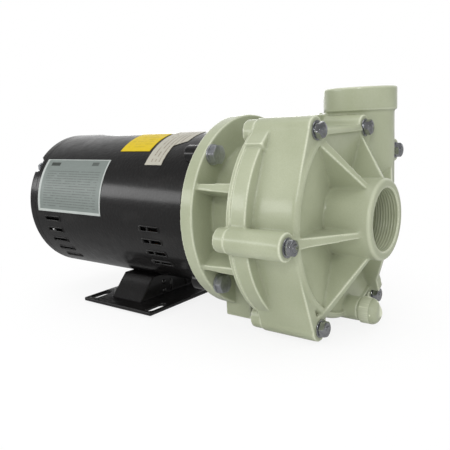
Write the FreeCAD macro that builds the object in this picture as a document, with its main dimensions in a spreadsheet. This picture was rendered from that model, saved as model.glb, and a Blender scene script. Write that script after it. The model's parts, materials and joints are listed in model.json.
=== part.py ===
"""Close-coupled centrifugal pump: plastic volute and motor adapter on a foot-mounted 56C motor.

Millimetres. The origin is the centre of the suction port's front face, on the shaft axis.
+X points out of the suction port, +Z up out of the discharge port, and the motor lies along -X.
A depth is a distance behind the suction face, so its X is minus the depth. An angle is counted
about the shaft from +Y (0 degrees) through +Z (90 degrees).
"""
import FreeCAD, Part
import Sketcher
import math
import os
from types import SimpleNamespace

from FreeCAD import Placement, Rotation, Vector

SIZES = {
    # Pipe ports, both for 1 1/2 inch taper pipe thread
    "port_bore_r": (24.13, "thread bore radius of both ports"),
    "port_thread_length": (22.0, "depth of the threaded bore in both ports"),
    "passage_r": (20.0, "water passage behind each port thread"),
    "collar_r": (31.2, "outer radius of both port collars"),
    "collar_round": (2.5, "rounding of the collar rims"),
    # Volute casing, along the shaft
    "gusset_depth": (5.5, "where the front ribs meet the suction collar"),
    "rim_depth": (32.0, "front face of the volute at its rim"),
    "boss_front_depth": (34.0, "front faces of the through-bolt bosses"),
    "neck_depth": (37.0, "where the dished face meets the suction neck"),
    "chamber_front_depth": (44.0, "front wall of the volute chamber"),
    "ring_front_depth": (68.5, "front face of the bolting flange"),
    "chamber_rear_depth": (73.0, "rear of the spiral chamber"),
    "seam_depth": (82.0, "joint between casing and adapter"),
    # Volute casing, across the shaft
    "drum_r": (76.5, "outer radius of the volute at the cutwater"),
    "spiral_start": (60.0, "angle of the cutwater, degrees"),
    "spiral_step_two": (3.0, "growth of the second quarter arc"),
    "spiral_step_three": (3.0, "growth of the third quarter arc"),
    "spiral_step_four": (3.0, "growth of the last quarter arc"),
    "casing_wall": (5.5, "wall around the chamber"),
    "ring_lip": (9.5, "how far the bolting flange stands out of the volute"),
    "rim_round": (4.0, "rounding of the volute rim"),
    "dish_margin": (5.0, "rim outside the dished face"),
    "dish_step": (1.2, "step from the rim down to the dished face"),
    "crown_height": (70.0, "flat top of the volute between the upper bosses"),
    "crown_reach": (55.0, "right end of the flat top, sideways from the shaft"),
    "register_r": (66.0, "rear opening that centres the adapter"),
    "wear_bore_r": (24.5, "casing bore around the impeller eye"),
    "wear_bore_length": (9.0, "length of that bore"),
    # Six through bolts: circle radius and angle of each boss, counted from the discharge
    "boss_r": (10.3, "through-bolt boss radius"),
    "boss_one_reach": (77.0, "boss left of the discharge tube"),
    "boss_one_angle": (61.5, "degrees"),
    "boss_two_reach": (81.5, "upper left boss"),
    "boss_two_angle": (122.0, "degrees"),
    "boss_three_reach": (86.3, "left boss"),
    "boss_three_angle": (184.5, "degrees"),
    "boss_four_reach": (89.2, "lower left boss"),
    "boss_four_angle": (241.2, "degrees"),
    "boss_five_reach": (94.5, "lower right boss"),
    "boss_five_angle": (304.2, "degrees"),
    "boss_six_reach": (110.0, "boss right of the discharge tube"),
    "boss_six_angle": (24.0, "degrees"),
    "web_width": (15.0, "web that ties a boss to the volute"),
    "fairing_height": (27.0, "upright side of the lower right boss"),
    "gusset_root": (8.0, "rib thickness at the boss"),
    "gusset_tip": (4.5, "rib thickness at the suction collar"),
    "gusset_lean": (-4.5, "the left rib is level and not radial, degrees"),
    "bend_reach": (70.0, "bend in the crest of the lower right rib, from the shaft"),
    "bend_depth": (23.5, "depth of that bend"),
    "crest_end_depth": (24.5, "outer end of that crest, in front of its boss"),
    "flat_two_angle": (157.5, "flat between the volute and the upper left boss, degrees"),
    "flat_two_reach": (76.2, "that flat from the shaft"),
    "flat_four_angle": (200.5, "flat between the volute and the lower left boss, degrees"),
    "flat_four_reach": (77.3, "that flat from the shaft"),
    "flat_thickness": (9.0, "solid under those flats"),
    "pad_angle": (130.5, "pad on the bolting flange beside the upper left boss, degrees"),
    "pad_reach": (88.5, "top of the pad from the shaft"),
    "pad_width": (18.0, "pad width"),
    "pad_lap": (2.0, "pad in front of the bolting flange"),
    # Discharge
    "discharge_depth": (52.9, "axis of the discharge behind the suction face"),
    "discharge_reach": (68.7, "axis of the discharge sideways from the shaft"),
    "discharge_tube_r": (29.0, "outer radius of the discharge tube"),
    "discharge_top": (100.5, "height of the discharge face above the shaft"),
    "discharge_collar": (19.5, "height of the collar"),
    "discharge_foot": (14.0, "centre of the tube's domed lower end"),
    # Drain at the bottom of the casing
    "drain_drop": (74.6, "drain axis below the shaft"),
    "drain_offset": (3.0, "drain axis sideways from the shaft"),
    "drain_boss_r": (9.5, "drain boss radius"),
    "drain_face_depth": (22.0, "face of the drain boss"),
    "drain_thread_r": (6.0, "plug thread radius"),
    "drain_thread_length": (12.0, "plug thread length"),
    "drain_head_r": (10.6, "plug head radius"),
    "drain_head_length": (15.2, "plug head length"),
    "drain_head_round": (5.5, "rounding of the plug head"),
    "drain_bevel": (34.0, "slope of the plug head's upper front, degrees"),
    "drain_bevel_drop": (4.4, "lower edge of that slope below the plug's axis"),
    "drain_neck": (2.0, "plug neck under the head"),
    "drain_way_r": (3.5, "hole from the drain bore into the chamber"),
    # Adapter between casing and motor
    "plate_thickness": (4.0, "plate that closes the casing"),
    "register_length": (5.7, "spigot that enters the casing"),
    "hub_r": (57.5, "adapter drum outer radius"),
    "hub_wall": (6.5, "adapter drum wall"),
    "plate_rear_depth": (90.0, "rear of the wall inside the drum"),
    "adapter_length": (52.0, "from the casing joint to the motor mounting face"),
    "flange_thickness": (12.0, "adapter motor flange"),
    "flange_r": (82.55, "adapter motor flange radius"),
    "flange_round": (1.0, "rounding of the motor flange"),
    "stub_r": (9.5, "rear stub boss radius"),
    "stub_length": (10.0, "rear stub boss length behind the seam"),
    "head_pocket": (2.7, "depth of the pocket for a through bolt head in a stub"),
    "rib_reach": (80.0, "outer edge of the adapter ribs"),
    "rib_thickness": (8.0, "adapter rib thickness at the plate"),
    "rib_tip": (4.6, "adapter rib thickness at the motor flange"),
    "upper_rib_angle": (158.0, "upper rib, degrees"),
    "lower_rib_angle": (206.0, "lower rib, degrees"),
    "foot_length": (26.0, "adapter foot along the shaft"),
    "foot_width": (60.0, "adapter foot across the shaft"),
    "shaft_height": (88.9, "shaft axis above the floor"),
    "drip_r": (4.0, "drip hole radius under the adapter drum"),
    # Shaft seal
    "seal_chamber_r": (19.5, "bore around the seal"),
    "seat_face_depth": (84.0, "lapped face of the stationary seat"),
    "seat_length": (10.0, "seat pocket length"),
    "seat_cup_r": (16.0, "seat pocket radius"),
    "seat_ring_r": (13.2, "ceramic seat radius"),
    "seal_wall": (3.5, "adapter wall behind the seat"),
    "seal_boss_wall": (5.0, "wall around the seat pocket"),
    "seal_shaft_gap": (1.75, "gap between the shaft and the fixed seal parts"),
    "seat_cup_wall": (1.75, "rubber before and behind the ceramic seat"),
    "head_ring_r": (12.4, "carbon ring radius"),
    "head_ring_length": (3.6, "carbon ring length"),
    "bellows_r": (10.6, "rubber bellows radius"),
    "spring_wire": (1.4, "seal spring wire, square"),
    "spring_r": (12.2, "seal spring mean radius"),
    "spring_turns": (2.5, "seal spring turns"),
    # Impeller
    "impeller_r": (57.0, "impeller radius"),
    "impeller_back_depth": (73.6, "rear of the impeller's back disc"),
    "back_disc": (3.4, "back disc thickness"),
    "vane_height": (9.0, "vane height"),
    "vane_thickness": (2.8, "vane thickness"),
    "vane_count": (6, "vanes"),
    "vane_inner_r": (22.0, "where the vanes begin"),
    "vane_sweep": (78.0, "angle swept by a vane, degrees"),
    "front_disc": (3.0, "front cover thickness"),
    "eye_r": (21.0, "impeller eye radius"),
    "eye_wall": (3.0, "wall of the eye ring"),
    "eye_front_depth": (47.0, "front of the eye ring"),
    "hub_core_r": (12.5, "impeller hub radius"),
    "hub_nose_depth": (56.0, "rounded front of the impeller hub"),
    "insert_r": (8.8, "threaded insert radius"),
    "insert_front_depth": (59.0, "front of the threaded insert"),
    "insert_rear_depth": (75.0, "rear of the threaded insert"),
    # Motor shaft
    "shaft_tip_r": (5.5, "threaded shaft end radius"),
    "shaft_tip_depth": (61.0, "front of the shaft"),
    "shaft_chamfer": (0.5, "chamfer on the shaft ends"),
    "shaft_shoulder_depth": (75.1, "shoulder that the impeller insert seats on"),
    "shaft_r": (7.94, "shaft radius"),
    "seat_r": (8.5, "shaft radius under the bearings"),
    "core_bore_r": (11.0, "shaft radius in the rotor"),
    "slinger_r": (15.0, "slinger radius"),
    "slinger_gap": (3.5, "from the adapter wall to the slinger"),
    "slinger_length": (3.0, "slinger thickness"),
    # Bearings, 17 x 40 x 12
    "race_r": (20.0, "outer race radius"),
    "bearing_width": (12.0, "bearing width"),
    "pitch_r": (14.25, "ball circle radius"),
    "ball_r": (3.37, "ball radius"),
    "ball_count": (7, "balls in a bearing"),
    "race_land": (2.1, "race shoulder from the ball circle"),
    "ball_clearance": (0.06, "clearance between ball and race"),
    "bearing_set_back": (6.0, "front bearing behind the mounting face"),
    "cage_thickness": (1.05, "ball cage thickness"),
    "washer_gap": (1.0, "room for the wave washer"),
    "washer_width": (2.5, "wave washer width"),
    # Motor frame
    "shell_r": (69.4, "motor shell radius"),
    "shell_wall": (1.8, "motor shell wall"),
    "front_bell_length": (12.0, "from the mounting face to the shell"),
    "fan_room": (14.0, "from the fan to the rear edge of the shell"),
    "rear_bell_length": (12.0, "from the shell to the back of the motor"),
    "bell_rim": (7.6, "rim thickness of the end bells"),
    "bell_spigot": (4.0, "end bell spigot inside the shell"),
    "bell_web": (5.0, "end bell web thickness"),
    "bell_round": (3.0, "rounding of the rear bell"),
    "rabbet_r": (57.15, "motor face register radius"),
    "rabbet_length": (4.0, "motor face register length"),
    "ear_r": (7.8, "face bolt ear radius"),
    "face_bolt_offset": (52.75, "face bolts up and across from the shaft"),
    "bearing_boss": (5.0, "wall around a bearing"),
    "shaft_hole_r": (11.0, "shaft hole in the front bell"),
    "rear_hole_r": (12.0, "hole in the back of the rear bell"),
    "notch_angle": (142.0, "notch in the rear bell, degrees"),
    "notch_width": (17.0, "notch width"),
    "notch_deep": (4.5, "notch depth"),
    "bell_vent_count": (7, "vents in the back of the rear bell"),
    "bell_vent_step": (30.0, "angle between those vents, degrees"),
    "bell_vent_width": (7.0, "vent in the back of the rear bell"),
    "bell_vent_inner": (34.0, "vents begin"),
    "bell_vent_outer": (54.0, "vents end"),
    # Shell vents
    "vent_length": (23.0, "vent slot length"),
    "vent_width": (4.6, "vent slot width"),
    "front_vent_inset": (37.5, "front edge of the shell to the middle of the front slots"),
    "rear_vent_inset": (26.0, "rear edge of the shell to the middle of the rear slots"),
    "vent_angle": (188.0, "first vent row, degrees"),
    "vent_step": (10.0, "angle between vent rows, degrees"),
    "front_vent_rows": (4, "vent rows at the front"),
    "rear_vent_rows": (5, "vent rows at the rear"),
    # Stator and rotor
    "stack_inset": (52.0, "front edge of the shell to the laminations"),
    "stack_length": (95.0, "length of the laminations"),
    "stator_bore_r": (42.0, "stator bore"),
    "slot_count": (24, "stator slots"),
    "slot_width": (5.0, "stator slot width"),
    "slot_inner_r": (44.0, "stator slot bottom towards the bore"),
    "slot_outer_r": (56.0, "stator slot top"),
    "end_turn": (17.0, "length of the end windings"),
    "end_turn_swell": (2.0, "end windings stand past the slots"),
    "end_turn_slope": (3.4, "sloped shoulders of the end windings"),
    "slot_liner": (0.1, "gap between coils and laminations"),
    "air_gap": (0.4, "air gap"),
    "bar_count": (20, "rotor bars"),
    "bar_width": (4.0, "rotor bar width"),
    "bar_height": (7.0, "rotor bar height"),
    "end_ring": (7.0, "rotor end ring length"),
    "fan_gap": (6.0, "from the end windings to the fan"),
    "fan_length": (16.0, "fan length"),
    "fan_r": (61.0, "fan radius"),
    "fan_hub_r": (16.0, "fan hub radius"),
    "fan_blades": (8, "fan blades"),
    "fan_sheet": (2.0, "fan wall thickness"),
    # Motor base, 56 frame
    "base_set_back": (100.9, "from the mounting face to the middle of the base"),
    "base_length": (91.4, "base along the shaft"),
    "base_width": (138.8, "base across the shaft"),
    "base_sheet": (3.4, "base sheet thickness"),
    "base_hole_length": (76.2, "mounting holes along the shaft"),
    "base_hole_width": (123.8, "mounting holes across the shaft"),
    "base_hole_r": (4.4, "mounting hole radius"),
    "saddle_length": (84.0, "saddle foot along the shaft"),
    "saddle_width": (82.0, "saddle foot across the shaft"),
    "saddle_neck_length": (34.0, "saddle along the shaft at its reach"),
    "saddle_neck_width": (62.0, "saddle across the shaft at its reach"),
    "saddle_reach": (54.0, "saddle reach below the shaft"),
    # Fasteners
    "case_bolt_r": (3.18, "1/4 inch through bolts"),
    "case_hole_clearance": (0.3, "clearance around the through bolts"),
    "case_hex": (11.1, "1/4 inch hex across flats"),
    "case_head": (4.2, "1/4 inch head height"),
    "case_nut": (4.8, "1/4 inch nut height"),
    "case_thread_end": (0.7, "bolt end past the nut"),
    "case_washer_r": (7.2, "1/4 inch washer radius"),
    "case_washer": (1.2, "1/4 inch washer thickness"),
    "face_bolt_r": (4.76, "3/8 inch face bolts"),
    "face_hole_clearance": (0.4, "clearance around the face bolts"),
    "thread_clearance": (0.04, "clearance drawn between mating threads"),
    "face_bolt_hex": (14.3, "3/8 inch hex across flats"),
    "face_bolt_head": (5.4, "3/8 inch head height"),
    "face_bolt_grip": (11.0, "thread engaged in the motor face"),
    "face_washer_r": (8.4, "3/8 inch lock washer radius"),
    "face_washer": (2.0, "3/8 inch lock washer thickness"),
    "tie_bolt_r": (2.4, "motor through bolt radius"),
    "tie_bolt_reach": (64.0, "motor through bolts from the shaft"),
    "tie_bolt_angle": (142.0, "first motor through bolt, degrees"),
    "tie_bolt_hex": (8.0, "motor through bolt hex across flats"),
    "tie_seat_r": (5.0, "counterbore around a motor through bolt head"),
    "tie_bolt_clearance": (0.3, "clearance around the motor through bolts"),
    "tie_bolt_head": (3.4, "motor through bolt head height"),
    # O-rings and running fits
    "o_ring_r": (1.6, "casing O-ring section radius"),
    "o_ring_groove": (3.3, "casing O-ring groove depth"),
    "plug_ring_r": (0.8, "drain plug O-ring section radius"),
    "slip": (0.05, "clearance between parts that are fitted together"),
    "face_gap": (0.03, "film between the seal faces"),
    # Labels on the shell
    "label_thickness": (0.4, "label thickness"),
    "plate_inset": (5.0, "nameplate from the rear edge of the shell"),
    "plate_length": (96.0, "nameplate length"),
    "plate_low_angle": (182.0, "nameplate lower edge, degrees"),
    "plate_high_angle": (137.0, "nameplate upper edge, degrees"),
    "yellow_inset": (56.0, "yellow label from the front edge of the shell"),
    "yellow_length": (38.0, "yellow label length"),
    "yellow_low_angle": (128.0, "yellow label lower edge, degrees"),
    "yellow_high_angle": (100.0, "yellow label upper edge, degrees"),
    "white_inset": (20.0, "white label from the front edge of the shell"),
    "white_length": (32.0, "white label length"),
    "white_low_angle": (141.0, "white label lower edge, degrees"),
    "white_high_angle": (95.0, "white label upper edge, degrees"),
    # Terminal cover on the back of the rear bell
    "cover_length": (62.0, "terminal cover across the shaft"),
    "cover_height": (30.0, "terminal cover height"),
    "cover_raise": (36.0, "terminal cover middle above the shaft"),
    "cover_sheet": (2.5, "terminal cover thickness"),
    "cover_screw_r": (2.0, "terminal cover screw radius"),
    "cover_screw_head_r": (3.8, "terminal cover screw head radius"),
    "cover_screw_head": (2.0, "terminal cover screw head height"),
    "cover_screw_reach": (24.0, "terminal cover screws from its middle"),
}

BOSSES = ("one", "two", "three", "four", "five", "six")
VANE_STEPS = 6
ALONG_X = Rotation(Vector(0, 1, 0), 90)
UPRIGHT = Rotation()


class Size:
    """A number together with the sheet expression that gives it."""

    def __init__(self, value, text):
        self.value = value
        self.text = text

    def __add__(self, other):
        other = as_size(other)
        return Size(self.value + other.value, f"({self.text} + {other.text})")

    def __sub__(self, other):
        other = as_size(other)
        return Size(self.value - other.value, f"({self.text} - {other.text})")

    def __mul__(self, other):
        other = as_size(other)
        return Size(self.value * other.value, f"({self.text} * {other.text})")

    def __truediv__(self, other):
        other = as_size(other)
        return Size(self.value / other.value, f"({self.text} / {other.text})")

    def __radd__(self, other):
        return as_size(other) + self

    def __rsub__(self, other):
        return as_size(other) - self

    def __rmul__(self, other):
        return as_size(other) * self

    def __neg__(self):
        return Size(-self.value, f"(0 - {self.text})")


def as_size(amount):
    return amount if isinstance(amount, Size) else Size(amount, f"({amount:.9g})")


def number(amount):
    return amount.value if isinstance(amount, Size) else amount


def cosine(angle):
    angle = as_size(angle)
    return Size(math.cos(math.radians(angle.value)), f"cos({angle.text})")


def sine(angle):
    angle = as_size(angle)
    return Size(math.sin(math.radians(angle.value)), f"sin({angle.text})")


doc = FreeCAD.newDocument("CentrifugalPump")


def fill_sheet():
    """Write every driving dimension to the sheet and return them by alias."""
    sheet = doc.addObject("Spreadsheet::Sheet", "Sizes")
    for row, (alias, (value, note)) in enumerate(SIZES.items(), start=1):
        sheet.set(f"A{row}", note)
        sheet.set(f"B{row}", str(value))
        sheet.setAlias(f"B{row}", alias)
    doc.recompute()
    return SimpleNamespace(**{
        alias: Size(sheet.get(alias), f"Sizes.{alias}") for alias in SIZES
    })


s = fill_sheet()


def add_depths():
    """Depths behind the suction face of what stands in a row along the shaft, each from the one
    before it."""
    s.face_depth = s.seam_depth + s.adapter_length
    s.bolt_seat_depth = s.seam_depth + s.stub_length - s.head_pocket
    s.seat_rear_depth = s.seat_face_depth + s.seat_length
    s.seal_rear_depth = s.seat_rear_depth + s.seal_wall
    s.slinger_depth = s.seal_rear_depth + s.slinger_gap + s.slinger_length
    s.front_bearing_depth = s.face_depth + s.bearing_set_back
    s.shell_front_depth = s.face_depth + s.front_bell_length
    s.stack_front_depth = s.shell_front_depth + s.stack_inset
    s.stack_rear_depth = s.stack_front_depth + s.stack_length
    s.fan_depth = s.stack_rear_depth + s.end_turn + s.fan_gap
    s.shell_rear_depth = s.fan_depth + s.fan_length + s.fan_room
    s.motor_rear_depth = s.shell_rear_depth + s.rear_bell_length
    s.rear_bearing_depth = s.motor_rear_depth - s.bell_web - s.washer_gap - s.bearing_width
    s.front_vent_depth = s.shell_front_depth + s.front_vent_inset
    s.rear_vent_depth = s.shell_rear_depth - s.rear_vent_inset
    s.base_middle_depth = s.face_depth + s.base_set_back


add_depths()


def bind(thing, name, amount):
    """Set a property, and tie it to the sheet where it comes from a size."""
    setattr(thing, name, number(amount))
    if isinstance(amount, Size):
        thing.setExpression(name, amount.text)


def place(thing, x=0, y=0, z=0, turn=UPRIGHT):
    thing.Placement = Placement(Vector(number(x), number(y), number(z)), turn)
    for axis, amount in zip("xyz", (x, y, z)):
        if isinstance(amount, Size):
            thing.setExpression("Placement.Base." + axis, amount.text)
    return thing


def named(kind, label):
    thing = doc.addObject(kind, label)
    thing.Label = label
    return thing


def rod(label, front, rear, radius, y=0, z=0):
    """Cylinder along the shaft between two depths."""
    thing = named("Part::Cylinder", label)
    bind(thing, "Radius", radius)
    bind(thing, "Height", rear - front)
    return place(thing, -as_size(rear), y, z, ALONG_X)


def post(label, bottom, top, radius, x, y):
    """Upright cylinder between two heights."""
    thing = named("Part::Cylinder", label)
    bind(thing, "Radius", radius)
    bind(thing, "Height", as_size(top) - bottom)
    return place(thing, x, y, bottom)


def ball(label, radius, x, y, z):
    thing = named("Part::Sphere", label)
    bind(thing, "Radius", radius)
    return place(thing, x, y, z)


def hexagon(label, front, rear, across_flats, y, z):
    """Hexagonal prism along the shaft."""
    thing = named("Part::Prism", label)
    thing.Polygon = 6
    bind(thing, "Circumradius", across_flats / math.sqrt(3))
    bind(thing, "Height", rear - front)
    return place(thing, -as_size(rear), y, z, ALONG_X)


def block(label, front, rear, width, bottom, top, angle=0.0, shift=0):
    """Box between two depths at an angle about the shaft; bottom and top are radii. Its middle is
    moved sideways by the shift, towards smaller angles."""
    thing = named("Part::Box", label)
    bind(thing, "Length", rear - front)
    bind(thing, "Width", width)
    bind(thing, "Height", as_size(top) - bottom)
    turn = Rotation(Vector(1, 0, 0), number(angle) - 90)
    half = as_size(width) / 2 - shift
    up = cosine(angle), sine(angle)
    return place(
        thing, -as_size(rear), up[0] * bottom - up[1] * half, up[1] * bottom + up[0] * half,
        turn=turn,
    )


def slab(label, x0, x1, y0, y1, z0, z1):
    """Upright box between three pairs of planes."""
    thing = named("Part::Box", label)
    bind(thing, "Length", as_size(x1) - x0)
    bind(thing, "Width", as_size(y1) - y0)
    bind(thing, "Height", as_size(z1) - z0)
    return place(thing, x0, y0, z0)


def fuse(label, *things):
    whole = named("Part::MultiFuse", label)
    whole.Shapes = list(things)
    return whole


def cut(label, base, *tools):
    remains = named("Part::Cut", label)
    remains.Base = base
    remains.Tool = tools[0] if len(tools) == 1 else fuse(label + "_tools", *tools)
    return remains


def common(label, base, tool):
    shared = named("Part::Common", label)
    shared.Base = base
    shared.Tool = tool
    return shared


def group(label, things):
    """Separate solids of identical pieces in one node."""
    whole = named("Part::Compound", label)
    whole.Links = list(things)
    return whole


def rounded(label, base, radius, wanted):
    """Fillet the edges of base that the wanted test picks."""
    doc.recompute()
    picked = [
        (count, number(radius), number(radius))
        for count, edge in enumerate(base.Shape.Edges, start=1) if wanted(edge.BoundBox)
    ]
    whole = named("Part::Fillet", label)
    whole.Base = base
    whole.Edges = picked
    return whole


def at_depth(depth):
    """Test for edges that lie in the plane at a depth."""
    x = -number(depth)
    return lambda box: abs(box.XMin - x) < 1e-4 and abs(box.XMax - x) < 1e-4


def profile(body, label, points):
    """Closed sketch of depth against radius, each corner tied to the sheet."""
    sketch = body.newObject("Sketcher::SketchObject", label + "_profile")
    plane = next(item for item in body.Origin.OriginFeatures if item.Role == "XY_Plane")
    sketch.AttachmentSupport = [(plane, "")]
    sketch.MapMode = "FlatFace"
    sketch.AttachmentOffset = Placement(Vector(), Rotation(Vector(0, 0, 1), 180))
    corners = [(as_size(depth), as_size(radius)) for depth, radius in points]
    spots = [Vector(depth.value, radius.value, 0) for depth, radius in corners]
    for here, there in zip(spots, spots[1:] + spots[:1]):
        sketch.addGeometry(Part.LineSegment(here, there), False)
    count = len(spots)
    for line in range(count):
        sketch.addConstraint(Sketcher.Constraint("Coincident", line, 2, (line + 1) % count, 1))
    for line, corner in enumerate(corners):
        for kind, amount in zip(("DistanceX", "DistanceY"), corner):
            index = sketch.addConstraint(Sketcher.Constraint(kind, line, 1, amount.value))
            sketch.setExpression(f"Constraints[{index}]", amount.text)
    return sketch


def turned(label, points, sweep=360.0, start=180.0):
    """Solid turned about the shaft from (depth, radius) corners."""
    body = named("PartDesign::Body", label)
    sketch = profile(body, label, points)
    feature = body.newObject("PartDesign::Revolution", label + "_turn")
    feature.Profile = sketch
    feature.ReferenceAxis = (sketch, ["H_Axis"])
    bind(feature, "Angle", sweep)
    body.Placement = Placement(Vector(), Rotation(Vector(1, 0, 0), number(start) - 180))
    return body


def tube(label, front, rear, outer, inner):
    return turned(label, [(front, inner), (front, outer), (rear, outer), (rear, inner)])


def wedge(label, angle, inner, outer, rear, inner_width, outer_width, inner_front, outer_front):
    """Rib in the plane of the shaft at an angle, from an inner to an outer radius. Its rear face
    is flat; its width and its front change evenly from the inner to the outer end."""
    thing = named("Part::Wedge", label)
    bind(thing, "Ymin", inner)
    bind(thing, "Ymax", outer)
    thing.Zmin = 0
    thing.Z2min = 0
    bind(thing, "Zmax", rear - inner_front)
    bind(thing, "Z2max", rear - outer_front)
    bind(thing, "Xmin", inner_width / -2)
    bind(thing, "Xmax", inner_width / 2)
    bind(thing, "X2min", outer_width / -2)
    bind(thing, "X2max", outer_width / 2)
    turn = Rotation(Vector(1, 0, 0), number(angle)) * ALONG_X
    return place(thing, -as_size(rear), turn=turn)


def shaft_rib(label, angle, inner, outer, front, rear, front_width, rear_width):
    """Rib in the plane of the shaft at an angle, whose thickness changes evenly along the shaft."""
    thing = named("Part::Wedge", label)
    thing.Ymin = 0
    bind(thing, "Ymax", rear - front)
    for name in ("Zmin", "Z2min"):
        bind(thing, name, inner)
    for name in ("Zmax", "Z2max"):
        bind(thing, name, outer)
    bind(thing, "Xmin", front_width / -2)
    bind(thing, "Xmax", front_width / 2)
    bind(thing, "X2min", rear_width / -2)
    bind(thing, "X2max", rear_width / 2)
    turn = Rotation(Vector(1, 0, 0), number(angle) - 90) * Rotation(Vector(0, 0, 1), 90)
    return place(thing, -as_size(front), turn=turn)


def radial(angle):
    angle = math.radians(angle)
    return Vector(0, math.cos(angle), math.sin(angle))


def spiral(label, depth, allowance):
    """Face across the shaft, bounded by the volute's four quarter arcs. Each arc is tangent to
    the one before it, and all are moved out by the allowance."""
    centre = Vector()
    radius = s.drum_r.value + number(allowance)
    angle = s.spiral_start.value
    steps = (0.0, s.spiral_step_two.value, s.spiral_step_three.value, s.spiral_step_four.value)
    edges = []
    for step in steps:
        centre = centre - radial(angle) * step
        radius += step
        points = [centre + radial(angle + turn) * radius for turn in (0, 45, 90)]
        edges.append(Part.Arc(*points).toShape())
        angle += 90
    edges.append(Part.LineSegment(points[-1], edges[0].Vertexes[0].Point).toShape())
    face = named("Part::Feature", label)
    face.Shape = Part.Face(Part.Wire(edges))
    return place(face, -as_size(depth))


def spiral_block(label, front, rear, allowance):
    """Spiral outline carried along the shaft between two depths."""
    solid = named("Part::Extrusion", label)
    solid.Base = spiral(label + "_outline", rear, allowance)
    solid.DirMode = "Custom"
    solid.Dir = Vector(1, 0, 0)
    bind(solid, "LengthFwd", rear - front)
    solid.Solid = True
    return solid


def boss_place(name):
    """Reach, angle, Y and Z of a through-bolt boss."""
    reach = getattr(s, f"boss_{name}_reach")
    angle = getattr(s, f"boss_{name}_angle")
    return reach, angle, reach * cosine(angle), reach * sine(angle)


def face_bolt_places():
    offset = s.face_bolt_offset
    return [(offset, offset), (-offset, offset), (-offset, -offset), (offset, -offset)]


def tie_bolt_places():
    places = []
    for quarter in range(4):
        angle = s.tie_bolt_angle + 90 * quarter
        places.append((s.tie_bolt_reach * cosine(angle), s.tie_bolt_reach * sine(angle)))
    return places


def crowned(label, front, rear, allowance, height):
    """Spiral block with a flat top from the upper left boss to the discharge."""
    _, _, left, _ = boss_place("two")
    above = slab(label + "_above", -as_size(rear), -as_size(front), left, s.crown_reach, height,
                 height + s.drum_r)
    return cut(label + "_crowned", spiral_block(label, front, rear, allowance), above)


def flange_crown():
    """Top of the bolting flange, level with the upper left boss."""
    return boss_place("two")[3] + s.boss_r


def gussets(name):
    """Rib from the suction collar to a boss. The lower right one has a bend in its crest and
    stands in front of its boss."""
    reach, angle, y, z = boss_place(name)
    lean = s.gusset_lean if name == "three" else as_size(0)
    rear = s.neck_depth + s.rim_round
    outer = reach - s.case_washer_r - s.case_hole_clearance
    corners = [(s.collar_r - s.collar_round, s.gusset_depth, s.gusset_tip)]
    if name == "five":
        corners += [(s.bend_reach, s.bend_depth, s.gusset_root),
                    (reach - s.boss_r, s.crest_end_depth, s.gusset_root)]
    else:
        corners.append((outer, s.boss_front_depth, s.gusset_root))
    ribs = []
    for step, (here, there) in enumerate(zip(corners, corners[1:])):
        rib = wedge(f"gusset_{name}_{step}", angle + lean, here[0], there[0], rear,
                    here[2], there[2], here[1], there[1])
        ribs.append(place(rib, -rear, y - reach * cosine(angle + lean),
                          z - reach * sine(angle + lean), rib.Placement.Rotation))
    return ribs


def boss_flats():
    """Flats that run from the volute to the left bosses, and the pad beside the upper one."""
    front = s.boss_front_depth
    flats = []
    for name, side in (("two", 1), ("four", -1)):
        reach, boss_angle, _, _ = boss_place(name)
        angle = getattr(s, f"flat_{name}_angle")
        top = getattr(s, f"flat_{name}_reach")
        run = reach * sine(side * (angle - boss_angle))
        flats.append(block(f"flat_{name}", front, s.seam_depth, run, top - s.flat_thickness, top,
                           angle, run * side / 2))
    flats.append(block("flange_pad", s.ring_front_depth - s.pad_lap, s.seam_depth, s.pad_width,
                       s.drum_r, s.pad_reach, s.pad_angle))
    return flats


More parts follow.
